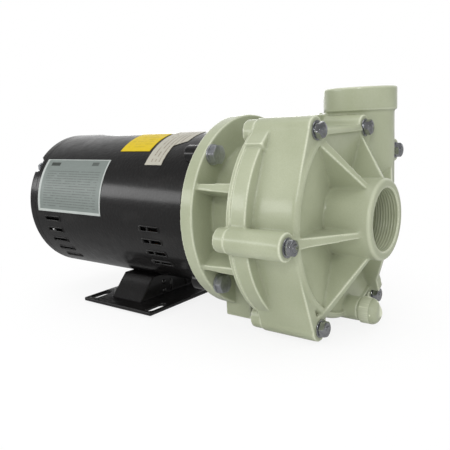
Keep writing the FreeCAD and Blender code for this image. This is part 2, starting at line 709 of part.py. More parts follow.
def volute_casing():
    """Spiral casing with dished front, ribs, bosses, suction neck and upright discharge."""
    drum = rounded(
        "drum_rounded", crowned("drum", s.rim_depth, s.seam_depth, 0, s.crown_height), s.rim_round,
        at_depth(s.rim_depth))
    widest = s.drum_r + s.spiral_step_two + s.spiral_step_three + s.spiral_step_four
    cone = turned("dish_cone", [
        (s.rim_depth - s.rim_round, s.collar_r - s.collar_round),
        (s.rim_depth - s.rim_round, widest),
        (s.rim_depth + s.dish_step, widest),
        (s.neck_depth, s.collar_r),
        (s.neck_depth, s.collar_r - s.collar_round),
    ])
    dish = common("dish", cone, crowned("dish_limit", s.rim_depth - 2 * s.rim_round,
                                        s.neck_depth + s.rim_round, -s.dish_margin,
                                        s.crown_height - s.dish_margin))
    neck = rounded(
        "neck_rounded", rod("neck", 0, s.chamber_front_depth, s.collar_r), s.collar_round,
        at_depth(0))
    solids = [
        cut("dished_drum", drum, dish),
        crowned("bolting_flange", s.ring_front_depth, s.seam_depth, s.ring_lip, flange_crown()),
        neck,
        *boss_flats(),
    ]
    holes = []
    for name in BOSSES:
        reach, angle, y, z = boss_place(name)
        boss = rod(f"boss_{name}", s.boss_front_depth, s.seam_depth, s.boss_r, y, z)
        web = block(
            f"web_{name}", s.boss_front_depth + s.rim_round, s.seam_depth, s.web_width,
            s.drum_r - s.casing_wall, reach, angle)
        solids += [boss, web, *gussets(name)]
        holes += [
            rod(f"boss_hole_{name}", s.boss_front_depth - s.slip, s.seam_depth,
                s.case_bolt_r + s.case_hole_clearance, y, z),
            rod(f"spot_face_{name}", 0, s.boss_front_depth,
                s.case_washer_r + s.case_hole_clearance, y, z),
        ]
    _, _, low_y, low_z = boss_place("five")
    solids.append(slab("fairing", -s.seam_depth, -s.boss_front_depth - s.rim_round, low_y,
                       low_y + s.boss_r, low_z, low_z + s.fairing_height))
    x = -s.discharge_depth
    y = s.discharge_reach
    collar_bottom = s.discharge_top - s.discharge_collar
    collar = rounded(
        "discharge_collar_rounded",
        post("discharge_rim", collar_bottom, s.discharge_top, s.collar_r, x, y),
        s.collar_round / 2, lambda box: True)
    solids += [
        post("discharge_tube", s.discharge_foot, collar_bottom + s.collar_round,
             s.discharge_tube_r, x, y),
        ball("discharge_dome", s.discharge_tube_r, x, y, s.discharge_foot),
        collar,
        rod("drain_boss", s.drain_face_depth, s.ring_front_depth, s.drain_boss_r,
            s.drain_offset, -s.drain_drop),
    ]
    bore_bottom = s.discharge_top - s.port_thread_length
    drain_bore_depth = s.drain_face_depth + s.drain_thread_length + 2 * s.slip
    hollows = [
        crowned("chamber", s.chamber_front_depth, s.chamber_rear_depth, -s.casing_wall,
                s.crown_height - s.casing_wall),
        rod("rear_opening", s.chamber_rear_depth, s.seam_depth, s.register_r),
        rod("suction_thread", 0, s.port_thread_length, s.port_bore_r),
        rod("suction_passage", 0, s.chamber_front_depth, s.passage_r),
        rod("wear_bore", s.chamber_front_depth - s.slip,
            s.chamber_front_depth + s.wear_bore_length, s.wear_bore_r),
        post("discharge_thread", bore_bottom, s.discharge_top, s.port_bore_r, x, y),
        post("discharge_passage", s.discharge_foot, s.discharge_top, s.passage_r, x, y),
        ball("discharge_turn", s.passage_r, x, y, s.discharge_foot),
        rod("drain_bore", s.drain_face_depth, drain_bore_depth,
            s.drain_thread_r + s.thread_clearance, s.drain_offset, -s.drain_drop),
        rod("drain_way", drain_bore_depth - s.slip, s.chamber_front_depth + s.slip, s.drain_way_r,
            s.drain_offset, s.drain_thread_r - s.drain_way_r - s.drain_drop),
    ]
    outside = fuse("casing_outside", *solids)
    return cut("volute_casing", outside, *hollows, *holes)


def casing_o_ring():
    """O-ring in the groove of the adapter's spigot, pressed against the casing."""
    ring = named("Part::Torus", "casing_o_ring")
    bind(ring, "Radius1", s.register_r - s.o_ring_r - s.slip)
    bind(ring, "Radius2", s.o_ring_r)
    return place(ring, (s.register_length / 2) - s.seam_depth, turn=ALONG_X)


def drain_plug():
    """Plug with a rounded head, sloped at the top and screwed into the drain boss."""
    y = s.drain_offset
    z = -s.drain_drop
    front = s.drain_face_depth - s.drain_head_length
    rear = s.drain_face_depth - s.drain_neck
    above = slab("drain_bevel", 0, s.drain_head_length, -s.drain_head_length,
                 s.drain_head_length, 0, 2 * s.drain_head_length)
    place(above, -front, y, z - s.drain_bevel_drop, Rotation(Vector(0, 1, 0), -s.drain_bevel.value))
    dome = rounded("drain_head_rounded", rod("drain_head", front, rear, s.drain_head_r, y, z),
                   s.drain_head_round, at_depth(front))
    head = cut("drain_head_bevelled", dome, above)
    seat = rod("drain_seat", rear - s.slip, s.drain_face_depth - s.slip, s.drain_boss_r, y, z)
    groove = s.drain_face_depth + 2 * s.plug_ring_r
    stem = rod("drain_stem", rear - s.slip, groove, s.drain_thread_r - 2 * s.plug_ring_r, y, z)
    thread = rod("drain_thread", groove, s.drain_face_depth + s.drain_thread_length,
                 s.drain_thread_r, y, z)
    return fuse("drain_plug", head, seat, stem, thread)


def drain_plug_o_ring():
    ring = named("Part::Torus", "drain_plug_o_ring")
    bind(ring, "Radius1", s.drain_thread_r - s.plug_ring_r)
    bind(ring, "Radius2", s.plug_ring_r - s.slip)
    return place(ring, -s.drain_face_depth - s.plug_ring_r, s.drain_offset, -s.drain_drop, ALONG_X)


def motor_adapter():
    """Plate that closes the casing, drum around the shaft seal, motor flange, ribs and foot."""
    plate_rear = s.seam_depth + s.plate_thickness
    flange_front = s.face_depth - s.flange_thickness
    seat_rear = s.seat_rear_depth
    seal_rear = s.seal_rear_depth
    cavity_r = s.hub_r - s.hub_wall
    boss_wall = s.seat_cup_r + s.seal_boss_wall
    solids = [
        crowned("plate", s.seam_depth, plate_rear, s.ring_lip, flange_crown()),
        rod("spigot", s.seam_depth - s.register_length, s.seam_depth, s.register_r - s.slip),
        rod("hub", s.seam_depth, s.face_depth, s.hub_r),
        rounded("motor_flange_rounded", rod("motor_flange", flange_front, s.face_depth, s.flange_r),
                s.flange_round, at_depth(flange_front)),
        slab("foot", -s.face_depth, s.foot_length - s.face_depth, s.foot_width / -2,
             s.foot_width / 2, -s.shaft_height, -cavity_r),
    ]
    holes = []
    stub_rear = s.seam_depth + s.stub_length
    for name in BOSSES:
        reach, angle, y, z = boss_place(name)
        solids.append(rod(f"stub_{name}", s.seam_depth, stub_rear, s.stub_r, y, z))
        solids.append(block(f"plate_web_{name}", s.seam_depth, plate_rear, s.web_width,
                            s.drum_r - s.casing_wall, reach, angle))
        holes.append(rod(f"stub_hole_{name}", s.seam_depth, s.bolt_seat_depth,
                         s.case_bolt_r + s.case_hole_clearance, y, z))
        holes.append(rod(f"head_pocket_{name}", s.bolt_seat_depth, stub_rear,
                         s.case_washer_r + s.case_hole_clearance, y, z))
    for count, angle in enumerate((s.upper_rib_angle, s.lower_rib_angle)):
        for side, turn in (("near", angle), ("far", 180 - angle)):
            solids.append(shaft_rib(f"adapter_rib_{side}_{count}", turn, cavity_r + s.slip,
                                    s.rib_reach, plate_rear, flange_front, s.rib_thickness,
                                    s.rib_tip))
    for count, (y, z) in enumerate(face_bolt_places()):
        holes.append(rod(f"face_hole_{count}", flange_front, s.face_depth,
                         s.face_bolt_r + s.face_hole_clearance, y, z))
    cavity = turned("adapter_cavity", [
        (s.face_depth, 0), (seal_rear, 0), (seal_rear, boss_wall),
        (s.plate_rear_depth, boss_wall + s.seal_boss_wall), (s.plate_rear_depth, cavity_r),
        (s.face_depth, cavity_r),
    ])
    groove_front = s.register_length / -2 + s.seam_depth - s.o_ring_r - s.slip
    groove = tube("o_ring_groove", groove_front, groove_front + 2 * (s.o_ring_r + s.slip),
                  s.register_r, s.register_r - s.o_ring_groove)
    hollows = [
        cavity,
        rod("rabbet_recess", s.face_depth - s.rabbet_length, s.face_depth, s.rabbet_r + s.slip),
        rod("seal_chamber", s.seam_depth - s.register_length, s.seat_face_depth, s.seal_chamber_r),
        rod("seat_pocket", s.seat_face_depth, seat_rear, s.seat_cup_r),
        rod("shaft_way", seat_rear, seal_rear, s.seat_r + s.seal_shaft_gap),
        groove,
        post("drip_hole", -s.hub_r - s.hub_wall, -cavity_r + s.hub_wall, s.drip_r,
             -s.slinger_depth + s.slinger_length, 0),
    ]
    return cut("motor_adapter", fuse("adapter_outside", *solids), *hollows, *holes)


def washer(label, front, rear, outer, inner, y, z):
    """Plain washer on a fastener."""
    return cut(label, rod(label + "_disc", front, rear, outer, y, z),
               rod(label + "_hole", front, rear, inner, y, z))


def case_washers(label, front):
    """One washer at each of the six bosses, from a depth rearwards."""
    washers = []
    for name in BOSSES:
        _, _, y, z = boss_place(name)
        washers.append(washer(f"{label}_{name}", front, front + s.case_washer, s.case_washer_r,
                              s.case_bolt_r + s.case_hole_clearance, y, z))
    return group(label, washers)


def casing_bolt_washers():
    return case_washers("casing_bolt_washers", s.bolt_seat_depth)


def casing_nut_washers():
    return case_washers("casing_nut_washers", s.boss_front_depth - s.case_washer)


def casing_bolts():
    """Hexagon bolts with their heads in the adapter's stubs and their ends through the nuts."""
    front = s.boss_front_depth - s.case_washer - s.case_nut - s.case_thread_end
    seat = s.bolt_seat_depth + s.case_washer
    bolts = []
    for name in BOSSES:
        _, _, y, z = boss_place(name)
        shank = rod(f"case_shank_{name}", front, seat + s.case_head / 2, s.case_bolt_r, y, z)
        head = hexagon(f"case_head_{name}", seat, seat + s.case_head, s.case_hex, y, z)
        bolts.append(fuse(f"case_bolt_{name}", shank, head))
    return group("casing_bolts", bolts)


def casing_nuts():
    rear = s.boss_front_depth - s.case_washer
    front = rear - s.case_nut
    nuts = []
    for name in BOSSES:
        _, _, y, z = boss_place(name)
        outside = hexagon(f"nut_hex_{name}", front, rear, s.case_hex, y, z)
        hole = rod(f"nut_hole_{name}", front, rear, s.case_bolt_r + s.thread_clearance, y, z)
        nuts.append(cut(f"nut_{name}", outside, hole))
    return group("casing_nuts", nuts)


def face_bolts():
    """Hexagon bolts that hold the adapter to the motor face."""
    seat = s.face_depth - s.flange_thickness - s.face_washer
    bolts = []
    for count, (y, z) in enumerate(face_bolt_places()):
        head = hexagon(f"face_head_{count}", seat - s.face_bolt_head, seat, s.face_bolt_hex, y, z)
        shank = rod(f"face_shank_{count}", seat - s.face_bolt_head / 2,
                    s.face_depth + s.face_bolt_grip, s.face_bolt_r, y, z)
        bolts.append(fuse(f"face_bolt_{count}", head, shank))
    return group("adapter_bolts", bolts)


def face_washers():
    seat = s.face_depth - s.flange_thickness
    inner = s.face_bolt_r + s.face_hole_clearance
    return group("adapter_bolt_washers", [
        washer(f"face_washer_{count}", seat - s.face_washer, seat, s.face_washer_r, inner, y, z)
        for count, (y, z) in enumerate(face_bolt_places())
    ])


def impeller():
    """Back disc, hub and backward-curved vanes."""
    disc_front = s.impeller_back_depth - s.back_disc
    vane_front = disc_front - s.vane_height
    hub_r = s.hub_core_r
    nose = turned("impeller_disc", [
        (s.hub_nose_depth, 0), (s.hub_nose_depth, hub_r / 2),
        (s.insert_front_depth, hub_r), (disc_front - s.back_disc, hub_r),
        (disc_front, hub_r + s.back_disc), (disc_front, s.impeller_r),
        (s.impeller_back_depth, s.impeller_r), (s.impeller_back_depth, s.bellows_r),
        (s.insert_rear_depth, s.bellows_r), (s.insert_rear_depth, 0),
    ])
    vanes = [vane(count, vane_front, disc_front + s.slip) for count in range(int(s.vane_count.value))]
    socket = rod("insert_socket", s.insert_front_depth, s.insert_rear_depth, s.insert_r)
    return cut("impeller", fuse("impeller_outside", nose, *vanes), socket)


def vane_curve(offset):
    """Backward-curved vane line: a log spiral from the eye to the rim, moved sideways."""
    turn = math.radians(s.vane_sweep.value)
    inner = s.vane_inner_r.value
    grow = math.log(s.impeller_r.value / inner) / turn
    slope = math.atan(grow)
    points = []
    for step in range(VANE_STEPS + 1):
        angle = turn * step / VANE_STEPS
        reach = inner * math.exp(grow * angle)
        across = 90 - math.degrees(angle + slope)
        points.append(radial(-math.degrees(angle)) * reach + radial(across) * offset)
    curve = Part.BSplineCurve()
    curve.interpolate(points)
    return curve.toShape()


def vane(count, front, rear):
    half = s.vane_thickness.value / 2
    outer = vane_curve(half)
    inner = vane_curve(-half)
    ends = [
        Part.LineSegment(outer.Vertexes[0].Point, inner.Vertexes[0].Point).toShape(),
        Part.LineSegment(outer.Vertexes[1].Point, inner.Vertexes[1].Point).toShape(),
    ]
    outline = named("Part::Feature", f"vane_{count}_outline")
    outline.Shape = Part.Face(Part.Wire(Part.__sortEdges__([outer, inner, *ends])))
    place(outline, -as_size(rear), turn=Rotation(Vector(1, 0, 0), 360 * count / s.vane_count.value))
    solid = named("Part::Extrusion", f"vane_{count}")
    solid.Base = outline
    solid.DirMode = "Custom"
    solid.Dir = Vector(1, 0, 0)
    bind(solid, "LengthFwd", as_size(rear) - front)
    solid.Solid = True
    rim = rod(f"vane_{count}_rim", s.hub_nose_depth, s.seam_depth, s.impeller_r)
    return common(f"vane_{count}_trimmed", solid, rim)


def impeller_cover():
    """Front cover welded to the vanes, with the eye ring that runs in the casing."""
    rear = s.impeller_back_depth - s.back_disc - s.vane_height
    outer = s.eye_r + s.eye_wall
    return turned("impeller_cover", [
        (s.eye_front_depth, s.eye_r), (s.eye_front_depth, outer),
        (rear - 2 * s.front_disc, outer), (rear - s.front_disc, outer + s.front_disc),
        (rear - s.front_disc, s.impeller_r), (rear, s.impeller_r),
        (rear, outer + s.front_disc), (rear - s.front_disc, s.eye_r),
    ])


def impeller_insert():
    """Metal insert moulded into the hub and screwed on the shaft end."""
    return tube("impeller_insert", s.insert_front_depth, s.insert_rear_depth, s.insert_r,
                s.shaft_tip_r + s.thread_clearance)


def seal_seat():
    """Ceramic ring that stands still in the adapter."""
    rear = s.seat_rear_depth - s.seat_cup_wall
    return tube("seal_seat", s.seat_face_depth, rear, s.seat_ring_r, s.seat_r + s.seal_shaft_gap)


def seal_seat_cup():
    """Rubber cup that holds the ceramic ring in its pocket."""
    front = s.seat_face_depth + s.seat_cup_wall
    rear = s.seat_rear_depth
    step = rear - s.seat_cup_wall
    inner = s.seat_r + s.seal_shaft_gap
    return turned("seal_seat_cup", [
        (front, s.seat_ring_r), (front, s.seat_cup_r), (rear, s.seat_cup_r), (rear, inner),
        (step, inner), (step, s.seat_ring_r),
    ])


def seal_ring():
    """Carbon ring that runs on the ceramic seat."""
    rear = s.seat_face_depth - s.face_gap
    return tube("seal_carbon_ring", rear - s.head_ring_length, rear, s.head_ring_r, s.seat_r)


def seal_bellows():
    """Rubber bellows that grips the shaft and carries the carbon ring."""
    rear = s.seat_face_depth - s.face_gap - s.head_ring_length
    return tube("seal_bellows", s.insert_rear_depth + s.slip, rear, s.bellows_r, s.shaft_r)


def seal_spring():
    """Coil spring between the impeller and the carbon ring."""
    half = s.spring_wire / 2
    start = s.impeller_back_depth + s.slip + half
    end = s.seat_face_depth - s.face_gap - s.head_ring_length - s.slip - half
    helix = named("Part::Helix", "spring_line")
    bind(helix, "Pitch", (end - start) / s.spring_turns)
    bind(helix, "Height", end - start)
    bind(helix, "Radius", s.spring_r)
    place(helix, -start, turn=Rotation(Vector(0, 1, 0), -90))
    wire = named("Part::Plane", "spring_wire")
    bind(wire, "Length", s.spring_wire)
    bind(wire, "Width", s.spring_wire)
    place(wire, -start - half, 0, s.spring_r - half, Rotation(Vector(1, 0, 0), 90))
    coil = named("Part::Sweep", "seal_spring")
    coil.Sections = [wire]
    coil.Spine = (helix, ["Edge1"])
    coil.Solid = True
    coil.Frenet = True
    return coil


def shaft_slinger():
    """Rubber disc that throws a leak off the shaft before the motor."""
    front = s.slinger_depth - s.slinger_length
    rear = s.slinger_depth + s.slinger_length
    return turned("shaft_slinger", [
        (front, s.shaft_r), (front, s.core_bore_r),
        (s.slinger_depth, s.core_bore_r), (s.slinger_depth, s.slinger_r),
        (rear - s.slinger_length / 2, s.slinger_r), (rear, s.core_bore_r), (rear, s.shaft_r),
    ])


def motor_shaft():
    """Shaft with threaded impeller end, two bearing seats and rotor seat."""
    front_seat = s.front_bearing_depth
    front_shoulder = front_seat + s.bearing_width
    rear_seat = s.rear_bearing_depth
    rear_end = rear_seat + s.bearing_width
    seat_front = front_seat - s.shaft_chamfer
    return turned("motor_shaft", [
        (s.shaft_tip_depth, 0), (s.shaft_tip_depth, s.shaft_tip_r - s.shaft_chamfer),
        (s.shaft_tip_depth + s.shaft_chamfer, s.shaft_tip_r),
        (s.shaft_shoulder_depth, s.shaft_tip_r), (s.shaft_shoulder_depth, s.shaft_r - s.slip),
        (seat_front, s.shaft_r - s.slip), (seat_front, s.seat_r), (front_shoulder, s.seat_r),
        (front_shoulder, s.core_bore_r), (rear_seat, s.core_bore_r), (rear_seat, s.seat_r),
        (rear_end + s.shaft_chamfer, s.seat_r), (rear_end + s.shaft_chamfer, 0),
    ])


def bearing(where, front):
    """Deep-groove bearing: two races, and the balls with their cage."""
    rear = front + s.bearing_width
    middle = front + s.bearing_width / 2
    inner_r = s.pitch_r - s.race_land
    outer_r = s.pitch_r + s.race_land
    grooves = []
    for race in ("inner", "outer"):
        groove = named("Part::Torus", f"{where}_{race}_groove")
        bind(groove, "Radius1", s.pitch_r)
        bind(groove, "Radius2", s.ball_r + s.ball_clearance)
        grooves.append(place(groove, -middle, turn=ALONG_X))
    inner = cut(f"{where}_bearing_inner_race",
                tube(f"{where}_inner_ring", front, rear, inner_r, s.seat_r + s.slip / 2), grooves[0])
    outer = cut(f"{where}_bearing_outer_race",
                tube(f"{where}_outer_ring", front, rear, s.race_r, outer_r), grooves[1])
    cage_half = s.cage_thickness / 2
    pieces = [tube(f"{where}_cage", middle - s.ball_r / 2, middle + s.ball_r / 2,
                   s.pitch_r + cage_half, s.pitch_r - cage_half)]
    count = int(s.ball_count.value)
    for index in range(count):
        angle = 360 * index / count
        pieces.append(ball(f"{where}_ball_{index}", s.ball_r, -middle,
                           s.pitch_r * cosine(angle), s.pitch_r * sine(angle)))
    return inner, outer, fuse(f"{where}_bearing_balls", *pieces)


def bearing_wave_washer():
    """Spring washer that loads the rear bearing, drawn flat at its working height."""
    front = s.rear_bearing_depth + s.bearing_width
    return tube("bearing_wave_washer", front + s.slip, front + s.washer_gap - s.slip,
                s.race_r - s.slip, s.race_r - s.washer_width)


def front_end_bell():
    """Cast motor face: register, four tapped ears, bearing housing."""
    face = s.face_depth
    web_front = face + s.bell_web / 2
    web_rear = web_front + s.bell_web
    rim_inner = s.shell_r - s.shell_wall - s.bell_rim
    housing = s.race_r + s.bearing_boss
    pocket_rear = s.front_bearing_depth + s.bearing_width + s.washer_gap
    spigot_r = s.shell_r - s.shell_wall - s.slip
    turned_bell = turned("front_bell_turned", [
        (face - s.rabbet_length, s.rabbet_r - s.bell_rim), (face - s.rabbet_length, s.rabbet_r),
        (face, s.rabbet_r), (face, s.shell_r), (s.shell_front_depth, s.shell_r),
        (s.shell_front_depth, spigot_r), (s.shell_front_depth + s.bell_spigot, spigot_r),
        (s.shell_front_depth + s.bell_spigot, rim_inner), (web_rear, rim_inner), (web_rear, housing),
        (pocket_rear, housing), (pocket_rear, s.race_r + s.slip / 2),
        (s.front_bearing_depth - s.slip, s.race_r + s.slip / 2),
        (s.front_bearing_depth - s.slip, s.shaft_hole_r), (web_front, s.shaft_hole_r),
        (web_front, s.rabbet_r - s.bell_rim),
    ])
    ears = [
        rod(f"ear_{count}", face, s.shell_front_depth, s.ear_r, y, z)
        for count, (y, z) in enumerate(face_bolt_places())
    ]
    holes = [
        rod(f"ear_hole_{count}", face, s.shell_front_depth, s.face_bolt_r + s.thread_clearance, y, z)
        for count, (y, z) in enumerate(face_bolt_places())
    ]
    holes += [
        rod(f"tie_tap_{count}", web_rear, s.shell_front_depth + s.bell_spigot,
            s.tie_bolt_r + s.thread_clearance, y, z)
        for count, (y, z) in enumerate(tie_bolt_places())
    ]
    return cut("front_end_bell", fuse("front_bell_outside", turned_bell, *ears), *holes)


def rear_end_bell():
    """Cast rear bell with bearing housing, vents and two notches in its rim."""
    back = s.motor_rear_depth
    web_front = back - s.bell_web
    rim_inner = s.shell_r - s.shell_wall - s.bell_rim
    housing = s.race_r + s.bearing_boss
    pocket_rear = s.rear_bearing_depth + s.bearing_width + s.washer_gap
    spigot_r = s.shell_r - s.shell_wall - s.slip
    front = s.shell_rear_depth - s.bell_spigot
    turned_bell = turned("rear_bell_turned", [
        (front, rim_inner), (front, spigot_r), (s.shell_rear_depth, spigot_r),
        (s.shell_rear_depth, s.shell_r), (back - s.bell_round, s.shell_r),
        (back, s.shell_r - s.bell_round), (back, s.rear_hole_r), (pocket_rear, s.rear_hole_r),
        (pocket_rear, s.race_r + s.slip / 2), (s.rear_bearing_depth, s.race_r + s.slip / 2),
        (s.rear_bearing_depth, housing), (web_front, housing), (web_front, rim_inner),
    ])
    tools = []
    for side, angle in (("near", s.notch_angle), ("far", s.notch_angle + 180)):
        tools.append(block(f"notch_{side}", s.shell_rear_depth + s.bell_round, back, s.notch_width,
                           s.shell_r - s.notch_deep, s.shell_r + s.notch_deep, angle))
    for count in range(int(s.bell_vent_count.value)):
        tools.append(block(f"bell_vent_{count}", web_front, back, s.bell_vent_width,
                           s.bell_vent_inner, s.bell_vent_outer, 180 + s.bell_vent_step * count))
    for count, (y, z) in enumerate(tie_bolt_places()):
        tools.append(rod(f"tie_hole_{count}", front, back, s.tie_bolt_r + s.slip, y, z))
        tools.append(rod(f"tie_seat_{count}", back - s.bell_web, back, s.tie_seat_r, y, z))
    for count, side in enumerate((-1, 1)):
        tools.append(rod(f"cover_tap_{count}", web_front, back, s.cover_screw_r + s.thread_clearance,
                         side * s.cover_screw_reach, s.cover_raise))
    return cut("rear_end_bell", turned_bell, *tools)


def rear_cap():
    """Plug in the hole behind the rear bearing."""
    front = s.rear_bearing_depth + s.bearing_width + s.washer_gap
    return turned("rear_cap", [
        (front, 0), (front, s.rear_hole_r - s.slip), (s.motor_rear_depth, s.rear_hole_r - s.slip),
        (s.motor_rear_depth, s.rear_hole_r + s.washer_gap),
        (s.motor_rear_depth + s.washer_gap, s.rear_hole_r), (s.motor_rear_depth + s.washer_gap, 0),
    ])


def motor_shell():
    """Rolled steel shell with rows of vent slots at both ends, on both sides."""
    body = tube("shell_tube", s.shell_front_depth, s.shell_rear_depth, s.shell_r,
                s.shell_r - s.shell_wall)
    slots = []
    ends = (("front", s.front_vent_depth, s.front_vent_rows),
            ("rear", s.rear_vent_depth, s.rear_vent_rows))
    for end, middle, rows in ends:
        for row in range(int(rows.value)):
            for side in ("near", "far"):
                angle = s.vent_angle + s.vent_step * row
                if side == "far":
                    angle = 180 - angle
                slots.append(block(
                    f"{end}_vent_{side}_{row}", middle - s.vent_length / 2, middle + s.vent_length / 2,
                    s.vent_width, s.shell_r - 3 * s.shell_wall, s.shell_r + s.shell_wall, angle))
    return cut("motor_shell", body, *slots)


def stator_core():
    """Laminated stack with open slots and four notches for the through bolts."""
    front = s.stack_front_depth
    rear = s.stack_rear_depth
    body = tube("stator_ring", front, rear, s.shell_r - s.shell_wall - s.slip, s.stator_bore_r)
    tools = []
    count = int(s.slot_count.value)
    for index in range(count):
        tools.append(block(f"stator_slot_{index}", front, rear, s.slot_width,
                           s.slot_inner_r, s.slot_outer_r, 360 * index / count))
    for index, (y, z) in enumerate(tie_bolt_places()):
        tools.append(rod(f"stator_notch_{index}", front, rear,
                         s.tie_bolt_r + s.tie_bolt_clearance, y, z))
    return cut("stator_core", body, *tools)


def stator_windings():
    """Coils in the slots and the two bundled end turns."""
    front = s.stack_front_depth
    rear = s.stack_rear_depth
    inner = s.slot_inner_r + s.slot_liner
    outer = s.slot_outer_r + s.end_turn_swell
    pieces = []
    for end, near, way in (("front", front, -1), ("rear", rear, 1)):
        far = near + way * s.end_turn
        slope = way * s.end_turn_slope
        pieces.append(turned(f"{end}_end_turn", [
            (near, inner), (near, s.slot_outer_r), (near + slope, outer),
            (far - slope, outer), (far, s.slot_outer_r), (far, inner),
        ]))
    count = int(s.slot_count.value)
    for index in range(count):
        pieces.append(block(f"coil_{index}", front - s.end_turn_slope, rear + s.end_turn_slope,
                            s.slot_width - 2 * s.slot_liner, inner + s.slot_liner,
                            s.slot_outer_r - s.slot_liner, 360 * index / count))
    return fuse("stator_windings", *pieces)


def rotor_core():
    """Laminated rotor with bars open to the air gap."""
    front = s.stack_front_depth
    rear = s.stack_rear_depth
    outer = s.stator_bore_r - s.air_gap
    body = tube("rotor_ring", front, rear, outer, s.core_bore_r)
    count = int(s.bar_count.value)
    slots = [
        block(f"rotor_slot_{index}", front, rear, s.bar_width, outer - s.bar_height,
              outer + s.air_gap, 360 * index / count)
        for index in range(count)
    ]
    return cut("rotor_core", body, *slots)


def rotor_cage():
    """Cast aluminium bars and end rings."""
    front = s.stack_front_depth
    rear = s.stack_rear_depth
    outer = s.stator_bore_r - s.air_gap
    pieces = [
        tube("front_end_ring", front - s.end_ring, front, outer - s.slip, outer - 2 * s.bar_height),
        tube("rear_end_ring", rear, rear + s.end_ring, outer - s.slip, outer - 2 * s.bar_height),
    ]
    count = int(s.bar_count.value)
    for index in range(count):
        pieces.append(block(f"bar_{index}", front - s.slip, rear + s.slip,
                            s.bar_width - 2 * s.slip, outer - s.bar_height + s.slip,
                            outer - s.slip, 360 * index / count))
    return fuse("rotor_cage", *pieces)


def cooling_fan():
    """Fan on the shaft behind the rotor."""
    front = s.fan_depth
    rear = front + s.fan_length
    bore = s.core_bore_r + s.slip
    pieces = [turned("fan_disc", [
        (front, bore), (front, s.fan_hub_r), (rear - s.fan_sheet, s.fan_hub_r),
        (rear - s.fan_sheet, s.fan_r), (rear, s.fan_r), (rear, bore),
    ])]
    count = int(s.fan_blades.value)
    for index in range(count):
        pieces.append(block(f"fan_blade_{index}", front, rear - s.fan_sheet / 2, s.fan_sheet,
                            s.fan_hub_r - s.fan_sheet, s.fan_r, 360 * index / count))
    return fuse("cooling_fan", *pieces)


def motor_tie_bolts():
    """Four long bolts that clamp the two bells on the shell."""
    seat = s.motor_rear_depth - s.bell_web
    bolts = []
    for count, (y, z) in enumerate(tie_bolt_places()):
        shank = rod(f"tie_shank_{count}", s.shell_front_depth, seat + s.tie_bolt_head / 2,
                    s.tie_bolt_r, y, z)
        head = hexagon(f"tie_head_{count}", seat, seat + s.tie_bolt_head, s.tie_bolt_hex, y, z)
        bolts.append(fuse(f"tie_bolt_{count}", shank, head))
    return group("motor_tie_bolts", bolts)


def saddle(label, shrink):
    """Tapered block under the shell, made smaller by the sheet thickness for its inside."""
    thing = named("Part::Wedge", label)
    foot = s.shaft_height - s.base_sheet
    for name, size in (("X", s.saddle_length), ("Z", s.saddle_width)):
        bind(thing, name + "min", size / -2 + shrink)
        bind(thing, name + "max", size / 2 - shrink)
    for name, size in (("X2", s.saddle_neck_length), ("Z2", s.saddle_neck_width)):
        bind(thing, name + "min", size / -2 + shrink)
        bind(thing, name + "max", size / 2 - shrink)
    bind(thing, "Ymin", 0)
    bind(thing, "Ymax", foot - s.saddle_reach)
    return place(thing, -s.base_middle_depth, 0, -foot, Rotation(Vector(1, 0, 0), 90))


def motor_base():
    """Pressed steel base: flat feet and a hollow saddle welded under the shell."""
    half = s.base_length / 2
    plate = slab("base_plate", -s.base_middle_depth - half, half - s.base_middle_depth,
                 s.base_width / -2, s.base_width / 2, -s.shaft_height, s.base_sheet - s.shaft_height)
    inside = saddle("saddle_inside", s.base_sheet)
    well = slab("base_well",
                -s.base_middle_depth - s.saddle_length / 2 + s.base_sheet,
                s.saddle_length / 2 - s.base_middle_depth - s.base_sheet,
                s.saddle_width / -2 + s.base_sheet, s.saddle_width / 2 - s.base_sheet,
                -s.shaft_height, s.base_sheet - s.shaft_height + s.slip)
    shell_space = rod("shell_space", s.base_middle_depth - s.base_length,
                      s.base_middle_depth + s.base_length, s.shell_r + s.slip)
    holes = [
        post(f"base_hole_{count}", -s.shaft_height, s.base_sheet - s.shaft_height, s.base_hole_r,
             along * s.base_hole_length / 2 - s.base_middle_depth, across * s.base_hole_width / 2)
        for count, (along, across) in enumerate(((1, 1), (-1, 1), (-1, -1), (1, -1)))
    ]
    return cut("motor_base", fuse("base_outside", plate, saddle("saddle_outside", as_size(0))),
               inside, well, shell_space, *holes)


def label(name, front, length, low_angle, high_angle):
    """Thin sticker wrapped on the shell."""
    rear = front + length
    return turned(name, [
        (front, s.shell_r + s.slip), (front, s.shell_r + s.slip + s.label_thickness),
        (rear, s.shell_r + s.slip + s.label_thickness), (rear, s.shell_r + s.slip),
    ], low_angle - high_angle, low_angle)


def terminal_cover():
    """Plate over the wiring opening in the back of the motor."""
    back = s.motor_rear_depth
    plate = slab("cover_plate", -back - s.cover_sheet, -back, s.cover_length / -2, s.cover_length / 2,
                 s.cover_raise - s.cover_height / 2, s.cover_raise + s.cover_height / 2)
    holes = [
        rod(f"cover_hole_{count}", back, back + s.cover_sheet, s.cover_screw_r + s.thread_clearance,
            side * s.cover_screw_reach, s.cover_raise)
        for count, side in enumerate((-1, 1))
    ]
    return cut("terminal_cover", plate, *holes)


def terminal_cover_screws():
    back = s.motor_rear_depth + s.cover_sheet
    screws = []
    for count, side in enumerate((-1, 1)):
        y = side * s.cover_screw_reach
        shank = rod(f"cover_shank_{count}", s.motor_rear_depth - s.bell_web,
                    back + s.cover_screw_head / 2, s.cover_screw_r, y, s.cover_raise)
        head = rod(f"cover_head_{count}", back, back + s.cover_screw_head, s.cover_screw_head_r,
                   y, s.cover_raise)
        screws.append(fuse(f"cover_screw_{count}", shank, head))
    return group("terminal_cover_screws", screws)


